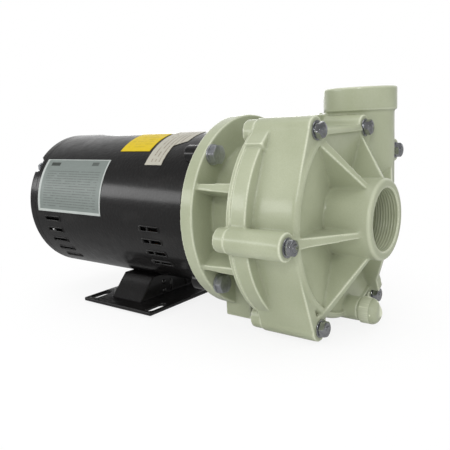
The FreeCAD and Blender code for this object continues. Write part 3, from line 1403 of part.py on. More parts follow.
def main():
    made = [
        volute_casing(), casing_o_ring(), drain_plug(), drain_plug_o_ring(), motor_adapter(),
        casing_bolts(), casing_bolt_washers(), casing_nut_washers(), casing_nuts(),
        face_bolts(), face_washers(),
        impeller(), impeller_cover(), impeller_insert(),
        seal_seat(), seal_seat_cup(), seal_ring(), seal_bellows(), seal_spring(),
        shaft_slinger(), motor_shaft(),
        *bearing("front", s.front_bearing_depth), *bearing("rear", s.rear_bearing_depth),
        bearing_wave_washer(), front_end_bell(), rear_end_bell(), rear_cap(), motor_shell(),
        stator_core(), stator_windings(), rotor_core(), rotor_cage(), cooling_fan(),
        motor_tie_bolts(), motor_base(), terminal_cover(), terminal_cover_screws(),
        label("nameplate", s.shell_rear_depth - s.plate_inset - s.plate_length, s.plate_length,
              s.plate_low_angle, s.plate_high_angle),
        label("yellow_label", s.shell_front_depth + s.yellow_inset, s.yellow_length,
              s.yellow_low_angle, s.yellow_high_angle),
        label("white_label", s.shell_front_depth + s.white_inset, s.white_length,
              s.white_low_angle, s.white_high_angle),
    ]
    doc.recompute()
    for thing in doc.Objects:
        if {"Invalid", "Error"} & set(thing.State):
            raise RuntimeError(f"{thing.Label} did not build")
    os.makedirs("parts", exist_ok=True)
    for thing in made:
        name = thing.Label
        shape = thing.Shape
        if shape.isNull() or not shape.isValid():
            raise RuntimeError(f"{name} has no valid shape")
        shape.exportStep(f"parts/{name}.step")
        print(name, len(shape.Solids), round(shape.Volume))


main()
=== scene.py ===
import json
import math

import bmesh
import bpy
from mathutils import Matrix, Vector

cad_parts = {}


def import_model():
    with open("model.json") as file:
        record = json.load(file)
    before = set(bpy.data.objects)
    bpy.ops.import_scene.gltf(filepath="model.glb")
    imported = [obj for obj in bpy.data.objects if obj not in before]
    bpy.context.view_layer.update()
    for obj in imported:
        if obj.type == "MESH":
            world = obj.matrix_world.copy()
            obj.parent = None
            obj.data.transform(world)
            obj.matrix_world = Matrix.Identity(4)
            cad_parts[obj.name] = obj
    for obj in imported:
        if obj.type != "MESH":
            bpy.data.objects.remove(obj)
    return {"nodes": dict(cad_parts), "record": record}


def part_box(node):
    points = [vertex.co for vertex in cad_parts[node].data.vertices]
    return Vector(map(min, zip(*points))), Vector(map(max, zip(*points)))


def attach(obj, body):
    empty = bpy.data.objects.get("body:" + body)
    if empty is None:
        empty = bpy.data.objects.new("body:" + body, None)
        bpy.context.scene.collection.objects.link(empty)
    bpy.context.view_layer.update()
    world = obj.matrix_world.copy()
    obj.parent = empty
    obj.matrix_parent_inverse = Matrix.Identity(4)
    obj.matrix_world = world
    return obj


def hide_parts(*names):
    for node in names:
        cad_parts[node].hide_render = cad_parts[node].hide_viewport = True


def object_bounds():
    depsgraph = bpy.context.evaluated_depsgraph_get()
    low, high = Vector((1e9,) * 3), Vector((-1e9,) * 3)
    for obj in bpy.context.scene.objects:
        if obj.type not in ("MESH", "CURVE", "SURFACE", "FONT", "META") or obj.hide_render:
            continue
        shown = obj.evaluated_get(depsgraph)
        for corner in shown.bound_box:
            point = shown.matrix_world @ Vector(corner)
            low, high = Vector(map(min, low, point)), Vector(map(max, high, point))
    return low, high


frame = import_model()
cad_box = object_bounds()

MM = 0.001
INCH = 25.4 * MM

# Camera: place in the row frame, angle round the vertical, angle above the level, roll, lens
CAMERA_PLACE = Vector((166.428, -403.701, 81.272)) * MM
CAMERA_ROUND = 38.508
CAMERA_ABOVE = 10.679
CAMERA_ROLL = -2.869
CAMERA_LENS = 45.67
SENSOR_WIDTH = 36.0
CAMERA_NEAR = 10 * MM

# Lamps: place in metres, width, height and watts. All are aimed at one point
LAMP_AIM = (-0.15, 0.0, 0.0)
LAMPS = {
    "top": ((-0.1, -0.1, 0.95), 0.9, 0.7, 1.9),
    "left": ((-0.85, -0.74, 0.29), 0.8, 0.22, 2.2),
    "front": ((0.9, -0.6, 0.05), 0.9, 0.8, 1.0),
    "back": ((-0.95, 1.1, 0.28), 0.9, 0.3, 2.4),
    "spark": ((0.3, -0.8, 0.5), 0.14, 0.14, 1.6),
}

# Room: level direction to its white side, and the cosines between which it turns white
BACKDROP = (-0.62, 0.78, 0.0)
BACKDROP_EDGE = (0.35, 0.95)

# Room: strength in gloss away from the white side, and of the soft fill on matt surfaces
ROOM_LEVEL = 0.22
FILL_LEVEL = 0.9

# Floor in metres: half its width, middle of the shadow, distances between which it turns white
FLOOR_REACH = 4.0
SHADOW_MIDDLE = (-0.16, 0.0, -0.0889)
SHADOW_EDGE = (0.1, 0.32)

# Floor: share of plain white in the shadow, colour of the matt part, strength in gloss
SHADOW_WHITE = 0.84
FLOOR_MATT = (0.93, 0.93, 0.93)
FLOOR_IN_GLOSS = 0.33

# Sizes of the CAD model
CASE_BOLT_R = 3.18 * MM
CASE_BOLT_HEAD = 4.2 * MM
FACE_BOLT_R = 4.76 * MM
FACE_BOLT_HEAD = 5.4 * MM
SHELL_R = 69.4 * MM
VENT_LENGTH = 23.0 * MM
VENT_WIDTH = 4.6 * MM
VENT_ANGLE = 188.0
VENT_STEP = 10.0
VENT_ROWS = ((-183.5 * MM, 4), (-320.0 * MM, 5))
BASE_SHEET = 3.4 * MM
BASE_HOLE_R = 4.4 * MM
BASE_HOLES = (38.1 * MM, 61.9 * MM)
BASE_MIDDLE = -234.9 * MM

# Saddle of the pressed base: reach ahead of and behind its middle, half widths, top, sheet
SADDLE_AHEAD = 17 * MM
SADDLE_BEHIND = 22 * MM
SADDLE_NECK = 35 * MM
SADDLE_FOOT = 54 * MM
SADDLE_TOP = -65 * MM
SADDLE_SHEET = BASE_SHEET * 0.8
BASE_SLOT = 15 * MM

# Weld spots on the saddle's front: distance to the side and below the shaft, half width and height
WELD_SPOTS = (
    (21 * MM, 73.5 * MM, 2.6 * MM, 2.6 * MM),
    (21 * MM, 82.5 * MM, 2.6 * MM, 2.6 * MM),
    (11 * MM, 78.5 * MM, 2.2 * MM, 6.5 * MM),
)
WELD_HEIGHT = 1.1 * MM

# Pipe thread of the ports: pitch, height of its ridge, plain lead-in, gap to the wall, depth in it
PIPE_PITCH = INCH / 11.5
PIPE_RIDGE = 0.18 * PIPE_PITCH
PIPE_LEAD = 0.8 * MM
PIPE_GAP = 0.05 * MM
PIPE_ROOT = 0.3 * MM

# Thread of the casing bolts
CASE_THREAD = INCH / 20
CASE_THREAD_DEPTH = 0.55 * MM

# Colours, linear
SAGE_LIGHT = (0.412, 0.442, 0.312)
SAGE_DEEP = (0.348, 0.377, 0.255)
# Darker sage for the plastic's fine grain, and for the painted shade in its hollows and creases
SAGE_SHADE = (0.2, 0.215, 0.125)
# Painted highlight on the plastic's outer edges and rib crests
SAGE_EDGE_HIGHLIGHT = (0.75, 0.78, 0.62)
BLACK_PAINT = (0.008, 0.0075, 0.0075)
DULL_SMEAR = (0.1, 0.095, 0.09)
ZINC = (0.52, 0.53, 0.55)
DULL_ZINC = (0.56, 0.575, 0.605)
FILM_GREEN = (0.18, 0.207, 0.193)
FILM_BORDER = (0.42, 0.45, 0.43)
FILM_YELLOW = (0.60, 0.44, 0.01)
FILM_WHITE = (0.415, 0.40, 0.335)
FILM_BROWN = (0.12, 0.075, 0.05)
INK = (0.03, 0.035, 0.03)
WHITE = (1.0, 1.0, 1.0)


def colour4(colour):
    """A colour with its fourth value, or the node output that stands for one."""
    return colour if isinstance(colour, bpy.types.NodeSocket) else (*colour, 1.0)


def darker(colour, share):
    """A colour with a share of its brightness."""
    return tuple(part * share for part in colour)


class Nodes:
    """A node tree with short ways to add to it. A value is a number, a tuple or a node's output."""

    def __init__(self, tree):
        self.tree = tree

    def add(self, kind, values, **settings):
        made = self.tree.nodes.new("ShaderNode" + kind)
        for key, value in settings.items():
            setattr(made, key, value)
        for key, value in values.items():
            self.put(made.inputs[key], value)
        return made

    def put(self, socket, value):
        if isinstance(value, bpy.types.NodeSocket):
            self.tree.links.new(value, socket)
        else:
            socket.default_value = value

    def level(self, value, low, high, to_low=0.0, to_high=1.0, **settings):
        """to_low where value is low or less, to_high where it is high or more."""
        values = {"Value": value, "From Min": low, "From Max": high, "To Min": to_low, "To Max": to_high}
        return self.add("MapRange", values, **settings).outputs["Result"]

    def math(self, operation, first, second=0.0):
        return self.add("Math", {0: first, 1: second}, operation=operation).outputs[0]


class Look(Nodes):
    """A material whose fixed values sit on the shader's own sockets."""

    def __init__(self, name, **fixed):
        self.material = bpy.data.materials.new(name)
        self.material.use_nodes = True
        super().__init__(self.material.node_tree)
        self.shader = self.tree.nodes["Principled BSDF"]
        for socket, value in fixed.items():
            self.shader.inputs[socket.replace("_", " ")].default_value = value
        self.place = self.add("TexCoord", {}).outputs["Object"]

    def noise(self, size, detail, stretch=(1, 1, 1)):
        """Unevenness whose features are about size across."""
        vector = self.add("Mapping", {"Vector": self.place, "Scale": stretch}).outputs["Vector"]
        made = self.add("TexNoise", {"Vector": vector, "Scale": 1 / size, "Detail": detail})
        return made.outputs["Fac"]

    def cloudy(self, size, detail, low=0.0, high=1.0):
        """Unevenness that often reaches its lowest and highest value."""
        return self.level(self.noise(size, detail), 0.3, 0.7, low, high)

    def waves(self, scale, wander, direction):
        """Wavy bands across a direction, pi / 10 / scale metres apart."""
        values = {"Vector": self.place, "Scale": scale, "Distortion": wander}
        return self.add("TexWave", values, bands_direction=direction).outputs["Fac"]

    def mix(self, share, first, second):
        """The first colour where share is 0, the second where it is 1."""
        values = {0: share, 6: colour4(first), 7: colour4(second)}
        return self.add("Mix", values, data_type="RGBA").outputs[2]

    def bump(self, height, distance, strength, before=None):
        values = {"Height": height, "Distance": distance, "Strength": strength}
        if before is not None:
            values["Normal"] = before
        return self.add("Bump", values).outputs["Normal"]

    def edges(self, low, high):
        """0 to 1 as pointiness goes from low to high: 0.5 on flat faces, more on outer edges."""
        point = self.add("NewGeometry", {}).outputs["Pointiness"]
        return self.level(point, low, high)

    def finish(self, colour, roughness, normal):
        for socket, value in (("Base Color", colour), ("Roughness", roughness), ("Normal", normal)):
            self.put(self.shader.inputs[socket], value)
        return self.material


def moulded_plastic():
    """Pale sage plastic with a satin skin: slightly cloudy, with painted shade in hollows and a painted
    highlight on outer edges.
    """
    look = Look("pump_plastic", Specular_IOR_Level=0.4, Coat_Weight=0.45, Coat_Roughness=0.14)
    cloud = look.level(look.noise(45 * MM, 4), 0.35, 0.68)
    colour = look.mix(cloud, SAGE_DEEP, SAGE_LIGHT)
    colour = look.mix(look.math("MULTIPLY", look.cloudy(0.9 * MM, 2), 0.16), colour, SAGE_SHADE)
    # Painted shade: hollows and creases darkened towards SAGE_SHADE
    hollow = look.math("SUBTRACT", 1.0, look.edges(0.44, 0.488))
    colour = look.mix(look.math("MULTIPLY", hollow, 0.8), colour, SAGE_SHADE)
    # Painted highlight: outer edges lightened towards a pale sage
    colour = look.mix(look.math("MULTIPLY", look.edges(0.51, 0.56), 0.85), colour, SAGE_EDGE_HIGHLIGHT)
    normal = look.bump(look.noise(0.8 * MM, 2), 0.05 * MM, 0.5)
    normal = look.bump(look.noise(14 * MM, 2), 0.6 * MM, 0.5, normal)
    return look.finish(colour, look.cloudy(6 * MM, 3, 0.3, 0.42), normal)


def gloss_paint(name, ripple=0.6 * MM, coat=0.6, rough=0.38, sheen=0.17):
    """Gloss black enamel with a slight ripple and a few dull smears."""
    look = Look(name, Specular_IOR_Level=0.12, Coat_Weight=coat, Coat_Roughness=sheen)
    smear = look.level(look.noise(20 * MM, 5, (0.5, 1, 1)), 0.55, 0.8, 0.0, 0.1)
    roughness = look.cloudy(12 * MM, 4, rough - 0.08, rough + 0.1)
    normal = look.bump(look.noise(2.5 * MM, 4), ripple, 0.6)
    normal = look.bump(look.noise(30 * MM, 2), 0.6 * MM, 0.6, normal)
    return look.finish(look.mix(smear, BLACK_PAINT, DULL_SMEAR), roughness, normal)


def plated(name, colour, rough):
    """Zinc plating: metal with a cloudy sheen and a fine grain."""
    look = Look(name, Metallic=1.0)
    shade = look.mix(look.cloudy(3 * MM, 4), darker(colour, 0.72), colour)
    roughness = look.cloudy(1.2 * MM, 4, rough - 0.08, rough + 0.1)
    return look.finish(shade, roughness, look.bump(look.noise(0.6 * MM, 2), 0.02 * MM, 0.25))


def turned_metal(name, colour, rough, grooves=0.5 * MM):
    """Bare metal, slightly stained, with fine rings left by turning round the shaft's axis."""
    look = Look(name, Metallic=1.0)
    rings = look.noise(grooves, 2, (1, 0.02, 0.02))
    stain = look.level(look.noise(10 * MM, 4), 0.35, 0.7)
    shade = look.mix(stain, colour, darker(colour, 0.8))
    roughness = look.level(rings, 0.3, 0.7, rough - 0.07, rough + 0.07)
    return look.finish(shade, roughness, look.bump(rings, 0.03 * MM, 0.5))


def plain_skin(name, light, dark, rough, grain=0.7 * MM, depth=0.06 * MM):
    """A plastic, rubber or ceramic skin: cloudy colour, uneven gloss and a fine grain."""
    look = Look(name)
    shade = look.mix(look.cloudy(8 * MM, 4), dark, light)
    roughness = look.cloudy(3 * MM, 3, rough - 0.06, rough + 0.08)
    return look.finish(shade, roughness, look.bump(look.noise(grain, 3), depth, 0.6))


def lamination_steel():
    """Edges of stacked sheets, about 1 mm apart along the shaft, with brown stains."""
    look = Look("lamination_steel", Metallic=0.8)
    sheets = look.waves(320.0, 0.4, "X")
    stain = look.level(look.noise(10 * MM, 4), 0.4, 0.7)
    colour = look.mix(stain, (0.22, 0.22, 0.23), (0.12, 0.09, 0.07))
    return look.finish(colour, look.level(sheets, 0, 1, 0.4, 0.6), look.bump(sheets, 0.1 * MM, 0.6))


def varnished_copper():
    """Round turns of enamelled wire under varnish."""
    look = Look("winding", Coat_Weight=0.6, Coat_Roughness=0.15)
    turns = look.waves(230.0, 2.5, "Z")
    colour = look.mix(turns, (0.06, 0.018, 0.008), (0.2, 0.07, 0.024))
    return look.finish(colour, look.level(turns, 0, 1, 0.4, 0.25), look.bump(turns, 0.3 * MM, 0.8))


# Dashes on the films: shift that keeps rows unlike, marks along a label, printed part of a row
ROW_SHIFT = 7.3
MARKS_ALONG = 156.0
PRINTED_PART = (0.28, 0.62)


# Printed film: rows of short dashes and plain blocks that say nothing
def round_the_shell(look, box, low_angle, high_angle):
    """How far along and how far round a label a point is, each from 0 to 1."""
    rear, front = box[0].x, box[1].x
    split = look.add("SeparateXYZ", {"Vector": look.place}).outputs
    along = look.level(split["X"], rear, front)
    turn = look.math("ARCTAN2", split["Z"], look.math("MULTIPLY", split["Y"], -1.0))
    up = look.level(turn, math.radians(180 - low_angle), math.radians(180 - high_angle))
    return along, up


def band(look, value, low, high):
    """1 where value lies between low and high."""
    above = look.math("GREATER_THAN", value, low)
    below = look.math("LESS_THAN", value, high)
    return look.math("MULTIPLY", above, below)


def patch(look, along, up, along_span, up_span):
    """1 on the part of a label that lies between two shares along it and two up it."""
    return look.math("MULTIPLY", band(look, along, *along_span), band(look, up, *up_span))


def dashes(look, along, up, rows, breaks, fill):
    """Rows of dashes with gaps of uneven length. A larger fill leaves smaller gaps."""
    height = look.math("MULTIPLY", up, rows)
    shifted = look.math("MULTIPLY", look.math("FLOOR", height), ROW_SHIFT)
    spot = look.add("CombineXYZ", {"X": look.math("MULTIPLY", along, breaks), "Y": shifted}).outputs[0]
    words = look.add("TexNoise", {"Vector": spot, "Scale": 1.0, "Detail": 1.0}).outputs["Fac"]
    fine = {"Vector": spot, "Scale": MARKS_ALONG / breaks, "Detail": 0.0}
    marks = look.add("TexNoise", fine).outputs["Fac"]
    word = look.level(words, 0.62 - fill * 0.3, 0.64 - fill * 0.3)
    mark = look.level(marks, 0.38, 0.5, 0.35, 1.0)
    line = band(look, look.math("FRACT", height), *PRINTED_PART)
    return look.math("MULTIPLY", look.math("MULTIPLY", word, mark), line)


def film(look, base, share, strength, ground=None, ink_colour=INK):
    """A printed film: base colour, ink where share is 1, slight handling marks."""
    smudge = look.level(look.noise(12 * MM, 4), 0.4, 0.75, 0.0, 0.16)
    colour = look.mix(smudge, ground or base, darker(base, 0.7))
    colour = look.mix(look.math("MULTIPLY", share, strength), colour, ink_colour)
    normal = look.bump(look.noise(4 * MM, 3), 0.12 * MM, 0.5)
    return look.finish(colour, look.cloudy(6 * MM, 3, 0.37, 0.5), normal)


def nameplate_film(box, low_angle, high_angle):
    """Grey-green foil with a pale border, rows of dashes and two plain blocks above them."""
    look = Look("nameplate_foil", Specular_IOR_Level=0.35)
    along, up = round_the_shell(look, box, low_angle, high_angle)
    inside = patch(look, along, up, (0.09, 0.93), (0.1, 0.78))
    text = look.math("MULTIPLY", dashes(look, along, up, rows=22.0, breaks=10.0, fill=0.85), inside)
    block = patch(look, along, up, (0.1, 0.25), (0.86, 0.93))
    mark = look.math("MULTIPLY", patch(look, along, up, (0.76, 0.86), (0.87, 0.94)), 0.7)
    dark = look.math("MAXIMUM", look.math("MULTIPLY", text, 0.5), look.math("MAXIMUM", block, mark))
    middle = patch(look, along, up, (0.035, 0.985), (0.045, 0.985))
    ground = look.mix(middle, FILM_BORDER, FILM_GREEN)
    return film(look, FILM_GREEN, dark, strength=0.9, ground=ground)


def yellow_film(box, low_angle, high_angle):
    """Yellow film with a few faint dashes."""
    look = Look("yellow_film", Specular_IOR_Level=0.15)
    along, up = round_the_shell(look, box, low_angle, high_angle)
    inside = patch(look, along, up, (0.12, 0.88), (0.12, 0.88))
    text = look.math("MULTIPLY", dashes(look, along, up, rows=8.0, breaks=6.0, fill=0.5), inside)
    return film(look, FILM_YELLOW, text, strength=0.22)


def white_film(box, low_angle, high_angle):
    """White paper whose rows of dashes run round the shell."""
    look = Look("white_film", Specular_IOR_Level=0.3)
    along, up = round_the_shell(look, box, low_angle, high_angle)
    inside = patch(look, along, up, (0.1, 0.9), (0.06, 0.94))
    text = look.math("MULTIPLY", dashes(look, up, along, rows=7.0, breaks=11.0, fill=0.7), inside)
    return film(look, FILM_WHITE, text, strength=0.6, ink_colour=FILM_BROWN)


LOOKS = {
    "pump_plastic": moulded_plastic(),
    "motor_casting": gloss_paint("motor_casting", ripple=0.8 * MM),
    "motor_paint": gloss_paint("motor_paint"),
    "bright_zinc": plated("bright_zinc", ZINC, rough=0.13),
    "dull_zinc": plated("dull_zinc", DULL_ZINC, rough=0.42),
    "stainless": turned_metal("stainless", (0.58, 0.57, 0.55), rough=0.25),
    "bearing_steel": turned_metal("bearing_steel", (0.62, 0.62, 0.61), rough=0.14),
    "cast_aluminium": turned_metal("cast_aluminium", (0.66, 0.66, 0.66), rough=0.5, grooves=3 * MM),
    "lamination_steel": lamination_steel(),
    "winding": varnished_copper(),
    "seal_rubber": plain_skin("seal_rubber", (0.03, 0.03, 0.03), (0.012, 0.012, 0.012), 0.55),
    "black_plastic": plain_skin("black_plastic", (0.025, 0.025, 0.026), (0.014, 0.014, 0.014), 0.45),
    "impeller_plastic": plain_skin("impeller_plastic", (0.06, 0.06, 0.065), (0.035, 0.035, 0.04), 0.5),
    "seal_ceramic": plain_skin(
        "seal_ceramic", (0.86, 0.84, 0.78), (0.8, 0.77, 0.7), 0.24, grain=0.3 * MM, depth=0.02 * MM),
    "seal_carbon": plain_skin(
        "seal_carbon", (0.05, 0.05, 0.055), (0.03, 0.03, 0.033), 0.35, grain=0.3 * MM, depth=0.02 * MM),
}

# Smoother, glossier coat of the motor paint on small raised forms
BEAD_PAINT = gloss_paint("bead_paint", ripple=0.2 * MM, coat=1.0, rough=0.3, sheen=0.06)


def linked(name, data):
    """A new object in the scene."""
    made = bpy.data.objects.new(name, data)
    bpy.context.scene.collection.objects.link(made)
    return made


# Meshes made from rings of points
class Mesh:
    """Vertices and faces gathered for one piece."""

    def __init__(self):
        self.points = []
        self.faces = []

    def skin(self, rings, joined=False):
        """Faces between neighbouring rings. Joined, the last ring meets the first; else both ends close."""
        first = len(self.points)
        count = len(rings[0])
        for ring in rings:
            self.points.extend(ring)
        spans = len(rings) if joined else len(rings) - 1
        for step in range(spans):
            here = first + step * count
            there = first + (step + 1) % len(rings) * count
            for place in range(count):
                after = (place + 1) % count
                self.faces.append((here + place, here + after, there + after, there + place))
        if not joined:
            self.faces.append(tuple(reversed(range(first, first + count))))
            last = first + (len(rings) - 1) * count
            self.faces.append(tuple(range(last, last + count)))

    def closed(self, name):
        """The gathered mesh, its faces turned outward."""
        mesh = bpy.data.meshes.new(name)
        mesh.from_pydata([tuple(point) for point in self.points], [], self.faces)
        turned = bmesh.new()
        turned.from_mesh(mesh)
        bmesh.ops.recalc_face_normals(turned, faces=turned.faces)
        turned.to_mesh(mesh)
        turned.free()
        return mesh

    def piece(self, name, body, slot, replaced=(), look=None, sharp=35.0):
        return dressed(name, self.closed(name), body, slot, replaced, look, sharp)


def dressed(name, mesh, body, slot, replaced=(), look=None, sharp=35.0):
    """The mesh as a piece of the object, riding on its body. Bends over sharp degrees stay sharp."""
    mesh.shade_smooth()
    mesh.set_sharp_from_angle(angle=math.radians(sharp))
    mesh.materials.clear()
    mesh.materials.append(look or LOOKS[slot])
    made = linked(name, mesh)
    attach(made, body)
    if replaced:
        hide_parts(*replaced)
    return made


def turn_steps(count):
    """Angles of count points spread evenly round a circle."""
    return [2 * math.pi * step / count for step in range(count)]


def ring_at(centre, along, radius_at, count, pole="X"):
    """A closed ring round an axis through centre, along metres up that axis."""
    ring = []
    for turn in turn_steps(count):
        radius = radius_at(turn)
        side, rise = radius * math.cos(turn), radius * math.sin(turn)
        offset = (along, side, rise) if pole == "X" else (rise, side, along)
        ring.append(centre + Vector(offset))
    return ring


def turned_rings(centre, profile, count):
    """Rings round X for a profile of distances along the axis and radii."""
    return [ring_at(centre, along, lambda turn, r=radius: r, count) for along, radius in profile]


def hex_reach(turn, flats, tilt):
    """Distance from the axis to a hexagon's side in direction turn."""
    part = (turn - tilt + math.pi / 6) % (math.pi / 3) - math.pi / 6
    return flats / 2 / math.cos(part)


def chamfered_hex(mesh, centre, flats, start, end, tilt, bore=0.0, both=False):
    """A hexagon along X from start to end, its end corners chamfered by a cone, with an optional bore."""
    count = 72
    away = 1 if end > start else -1
    washer_face = flats * 0.475
    corner = flats / 2 / math.cos(math.pi / 6)
    slope = math.tan(math.radians(30))
    chamfer = (corner - washer_face) * slope
    steps = 5

    def cut(depth):
        return lambda turn: min(hex_reach(turn, flats, tilt), washer_face + depth / slope)

    levels = [chamfer * step / steps for step in range(steps + 1)]
    rings = [ring_at(centre, end - away * level, cut(level), count) for level in levels]
    if both:
        rings += [ring_at(centre, start + away * level, cut(level), count) for level in reversed(levels)]
    else:
        rings.append(ring_at(centre, start, cut(corner), count))
    if bore:
        inner = [(start, bore), (start + away * 0.05 * flats, bore * 0.97), (end, bore)]
        rings += turned_rings(centre, inner, count)
    mesh.skin(rings, joined=bool(bore))


def threaded(mesh, centre, radius, depth, pitch, start, end):
    """A threaded bolt end from start to end along X, with a chamfered tip."""
    count = 32
    away = 1 if end > start else -1
    length = abs(end - start)
    steps = max(4, math.ceil(length / pitch * 6))
    rings = [ring_at(centre, start, lambda turn: radius - depth, count)]
    for step in range(steps + 1):
        along = length * step / steps
        tip = min(0.0, (length - along) - 1.2 * depth)

        def radius_at(turn, along=along, tip=tip):
            wave = abs((along / pitch - turn / (2 * math.pi)) % 1 * 2 - 1)
            return radius - depth * wave + tip * 0.8

        rings.append(ring_at(centre, start + away * along, radius_at, count))
    mesh.skin(rings)


def washer(mesh, centre, start, end, outer, inner):
    """A flat washer with rolled edges."""
    count = 48
    edge = abs(end - start) * 0.3
    away = 1 if end > start else -1
    profile = [
        (start, inner),
        (end, inner),
        (end, outer - edge),
        (end - away * edge * 0.3, outer - edge * 0.3),
        (end - away * edge, outer),
        (start + away * edge, outer),
        (start + away * edge * 0.3, outer - edge * 0.3),
        (start, outer - edge),
    ]
    mesh.skin(turned_rings(centre, profile, count), joined=True)


def solids(node):
    """Lowest and highest corner of each separate solid of a CAD node."""
    same_point = 1e-6
    work = bmesh.new()
    work.from_mesh(frame["nodes"][node].data)
    bmesh.ops.remove_doubles(work, verts=work.verts, dist=same_point)
    waiting = set(work.verts)
    found = []
    while waiting:
        reached = [waiting.pop()]
        island = []
        while reached:
            vertex = reached.pop()
            island.append(vertex.co.copy())
            for edge in vertex.link_edges:
                other = edge.other_vert(vertex)
                if other in waiting:
                    waiting.remove(other)
                    reached.append(other)
        low = Vector(min(point[axis] for point in island) for axis in range(3))
        high = Vector(max(point[axis] for point in island) for axis in range(3))
        found.append((low, high))
    work.free()
    return sorted(found, key=lambda corners: (round(corners[0].y, 4), round(corners[0].z, 4)))


def axis_point(corners):
    """The point of a solid's middle line in the plane of the suction face."""
    low, high = corners
    return Vector((0, (low.y + high.y) / 2, (low.z + high.z) / 2))


def flats_of(corners):
    """Distance across the flats of a hexagon that has a flat or a corner up."""
    low, high = corners
    return min(high.y - low.y, high.z - low.z)


# Housings: walls with every edge and corner softened, as a mould or a press leaves them
def softened(mesh, voxel, rounds, share, cutters=()):
    """A new mesh less the cutters, smoothed in rounds, with a share of its triangles kept."""
    work = linked("work", mesh)
    tools = []
    for cutter in cutters:
        tool = linked("cutter", cutter)
        taken = work.modifiers.new("cut", "BOOLEAN")
        taken.object = tool
        taken.use_self = True
        tools.append(tool)
    remesh = work.modifiers.new("even", "REMESH")
    remesh.mode = "VOXEL"
    remesh.voxel_size = voxel
    smooth = work.modifiers.new("soft", "SMOOTH")
    smooth.factor = 0.5
    smooth.iterations = rounds
    fewer = work.modifiers.new("fewer", "DECIMATE")
    fewer.ratio = share
    shown = work.evaluated_get(bpy.context.evaluated_depsgraph_get())
    done = bpy.data.meshes.new_from_object(shown)
    for used in (work, *tools):
        bpy.data.objects.remove(used)
    return done


def soft_housing(node, slot, voxel, rounds, share):
    """A CAD housing with its edges softened."""
    mesh = softened(frame["nodes"][node].data.copy(), voxel, rounds, share)
    return dressed(node + "_moulded", mesh, "frame", slot, (node,), sharp=60.0)


def outline_rings(outline, start, end):
    """An outline in Y and Z at two places along X."""
    return [[Vector((place, y, z)) for y, z in outline] for place in (start, end)]


def prism(outline, start, end):
    """A closed form along X from an outline in Y and Z."""
    made = Mesh()
    made.skin(outline_rings(outline, start, end))
    return made.closed("prism")


def slot_tool(middle, end_one, end_two, low, high):
    """A stadium through the base plate, its long way across the shaft."""
    ring = []
    for turn in turn_steps(32):
        side = end_two if math.sin(turn) > 0 else end_one
        ring.append((middle + BASE_HOLE_R * math.cos(turn), side + BASE_HOLE_R * math.sin(turn)))
    made = Mesh()
    made.skin([[Vector((x, y, z)) for x, y in ring] for z in (low, high)])
    return made.closed("slot")


def motor_base():
    """Pressed base: a flat plate with slots and a short hollow saddle that flares to its foot."""
    low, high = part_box("motor_base")
    deck = low.z + BASE_SHEET
    below = low.z - MM
    front, rear = BASE_MIDDLE + SADDLE_AHEAD, BASE_MIDDLE - SADDLE_BEHIND
    neck, foot, top, sheet = SADDLE_NECK, SADDLE_FOOT, SADDLE_TOP, SADDLE_SHEET
    plate = [(low.y, low.z), (high.y, low.z), (high.y, deck), (low.y, deck)]
    saddle = [(-foot, deck - MM), (foot, deck - MM), (foot, deck), (neck, top), (-neck, top), (-foot, deck)]
    solid = Mesh()
    solid.skin(outline_rings(plate, low.x, high.x))
    solid.skin(outline_rings(saddle, rear, front))
    inner_foot, inner_neck = foot - 1.5 * sheet, neck - 0.6 * sheet
    inside = [(-inner_foot, below), (inner_foot, below), (inner_foot, deck - sheet),
              (inner_neck, top - sheet), (-inner_neck, top - sheet), (-inner_foot, deck - sheet)]
    shell = [(SHELL_R * math.cos(turn), SHELL_R * math.sin(turn)) for turn in turn_steps(96)]
    cutters = [prism(inside, rear + sheet, front - sheet), prism(shell, low.x - MM, high.x + MM)]
    along, across = BASE_HOLES
    for side in (-1, 1):
        for end in (-1, 1):
            ends = sorted((side * across, side * (across - BASE_SLOT)))
            cutters.append(slot_tool(BASE_MIDDLE + end * along, *ends, below, deck + MM))
    mesh = softened(solid.closed("base"), voxel=0.6 * MM, rounds=4, share=0.3, cutters=cutters)
    dressed("motor_base_pressed", mesh, "frame", "motor_paint", ("motor_base",), sharp=60.0)


def weld_spots():
    """Spots on the front of the base's saddle."""
    mesh = Mesh()
    for side in (-1, 1):
        for sideways, depth, across, tall in WELD_SPOTS:
            dome(mesh, Vector((BASE_MIDDLE + SADDLE_AHEAD, side * sideways, -depth)), across, tall)
    mesh.piece("base_weld_spots", "frame", "motor_paint", look=BEAD_PAINT, sharp=180.0)


def dome(mesh, centre, across, tall):
    """A low bulge on a face that looks forward along X, rooted inside the face."""
    profile = [(-0.6, 1.0), (0.0, 1.0), (0.5, 0.86), (0.85, 0.55), (1.0, 0.15)]
    rings = []
    for rise, spread in profile:
        rings.append([centre + Vector((rise * WELD_HEIGHT, spread * across * math.cos(turn),
                                       spread * tall * math.sin(turn))) for turn in turn_steps(24)])
    mesh.skin(rings)


def port_thread(name, mount, pole, inward):
    """The internal pipe thread of a port: ridges that stand in from the bore's wall."""
    wall = mount["dims"]["r_mm"] * MM
    length = mount["dims"]["length_mm"] * MM
    centre = Vector(mount["pos_m"])
    count = 96
    per_pitch = 8
    steps = int((length - PIPE_LEAD) / PIPE_PITCH * per_pitch)
    inner, outer = [], []
    for step in range(steps + 1):
        along = PIPE_LEAD + (length - PIPE_LEAD) * step / steps
        fade = min(1.0, (along - PIPE_LEAD) / (1.5 * PIPE_PITCH), (length - along) / PIPE_PITCH)

        def radius_at(turn, along=along, fade=fade):
            wave = 0.5 - 0.5 * math.cos(2 * math.pi * along / PIPE_PITCH - turn)
            return wall - PIPE_GAP - PIPE_RIDGE * fade * wave

        inner.append(ring_at(centre, inward * along, radius_at, count, pole))
    for along in (length, PIPE_LEAD):
        outer.append(ring_at(centre, inward * along, lambda turn: wall + PIPE_ROOT, count, pole))
    mesh = Mesh()
    mesh.skin(inner + outer, joined=True)
    return mesh.piece(name, "frame", "pump_plastic", sharp=180.0)


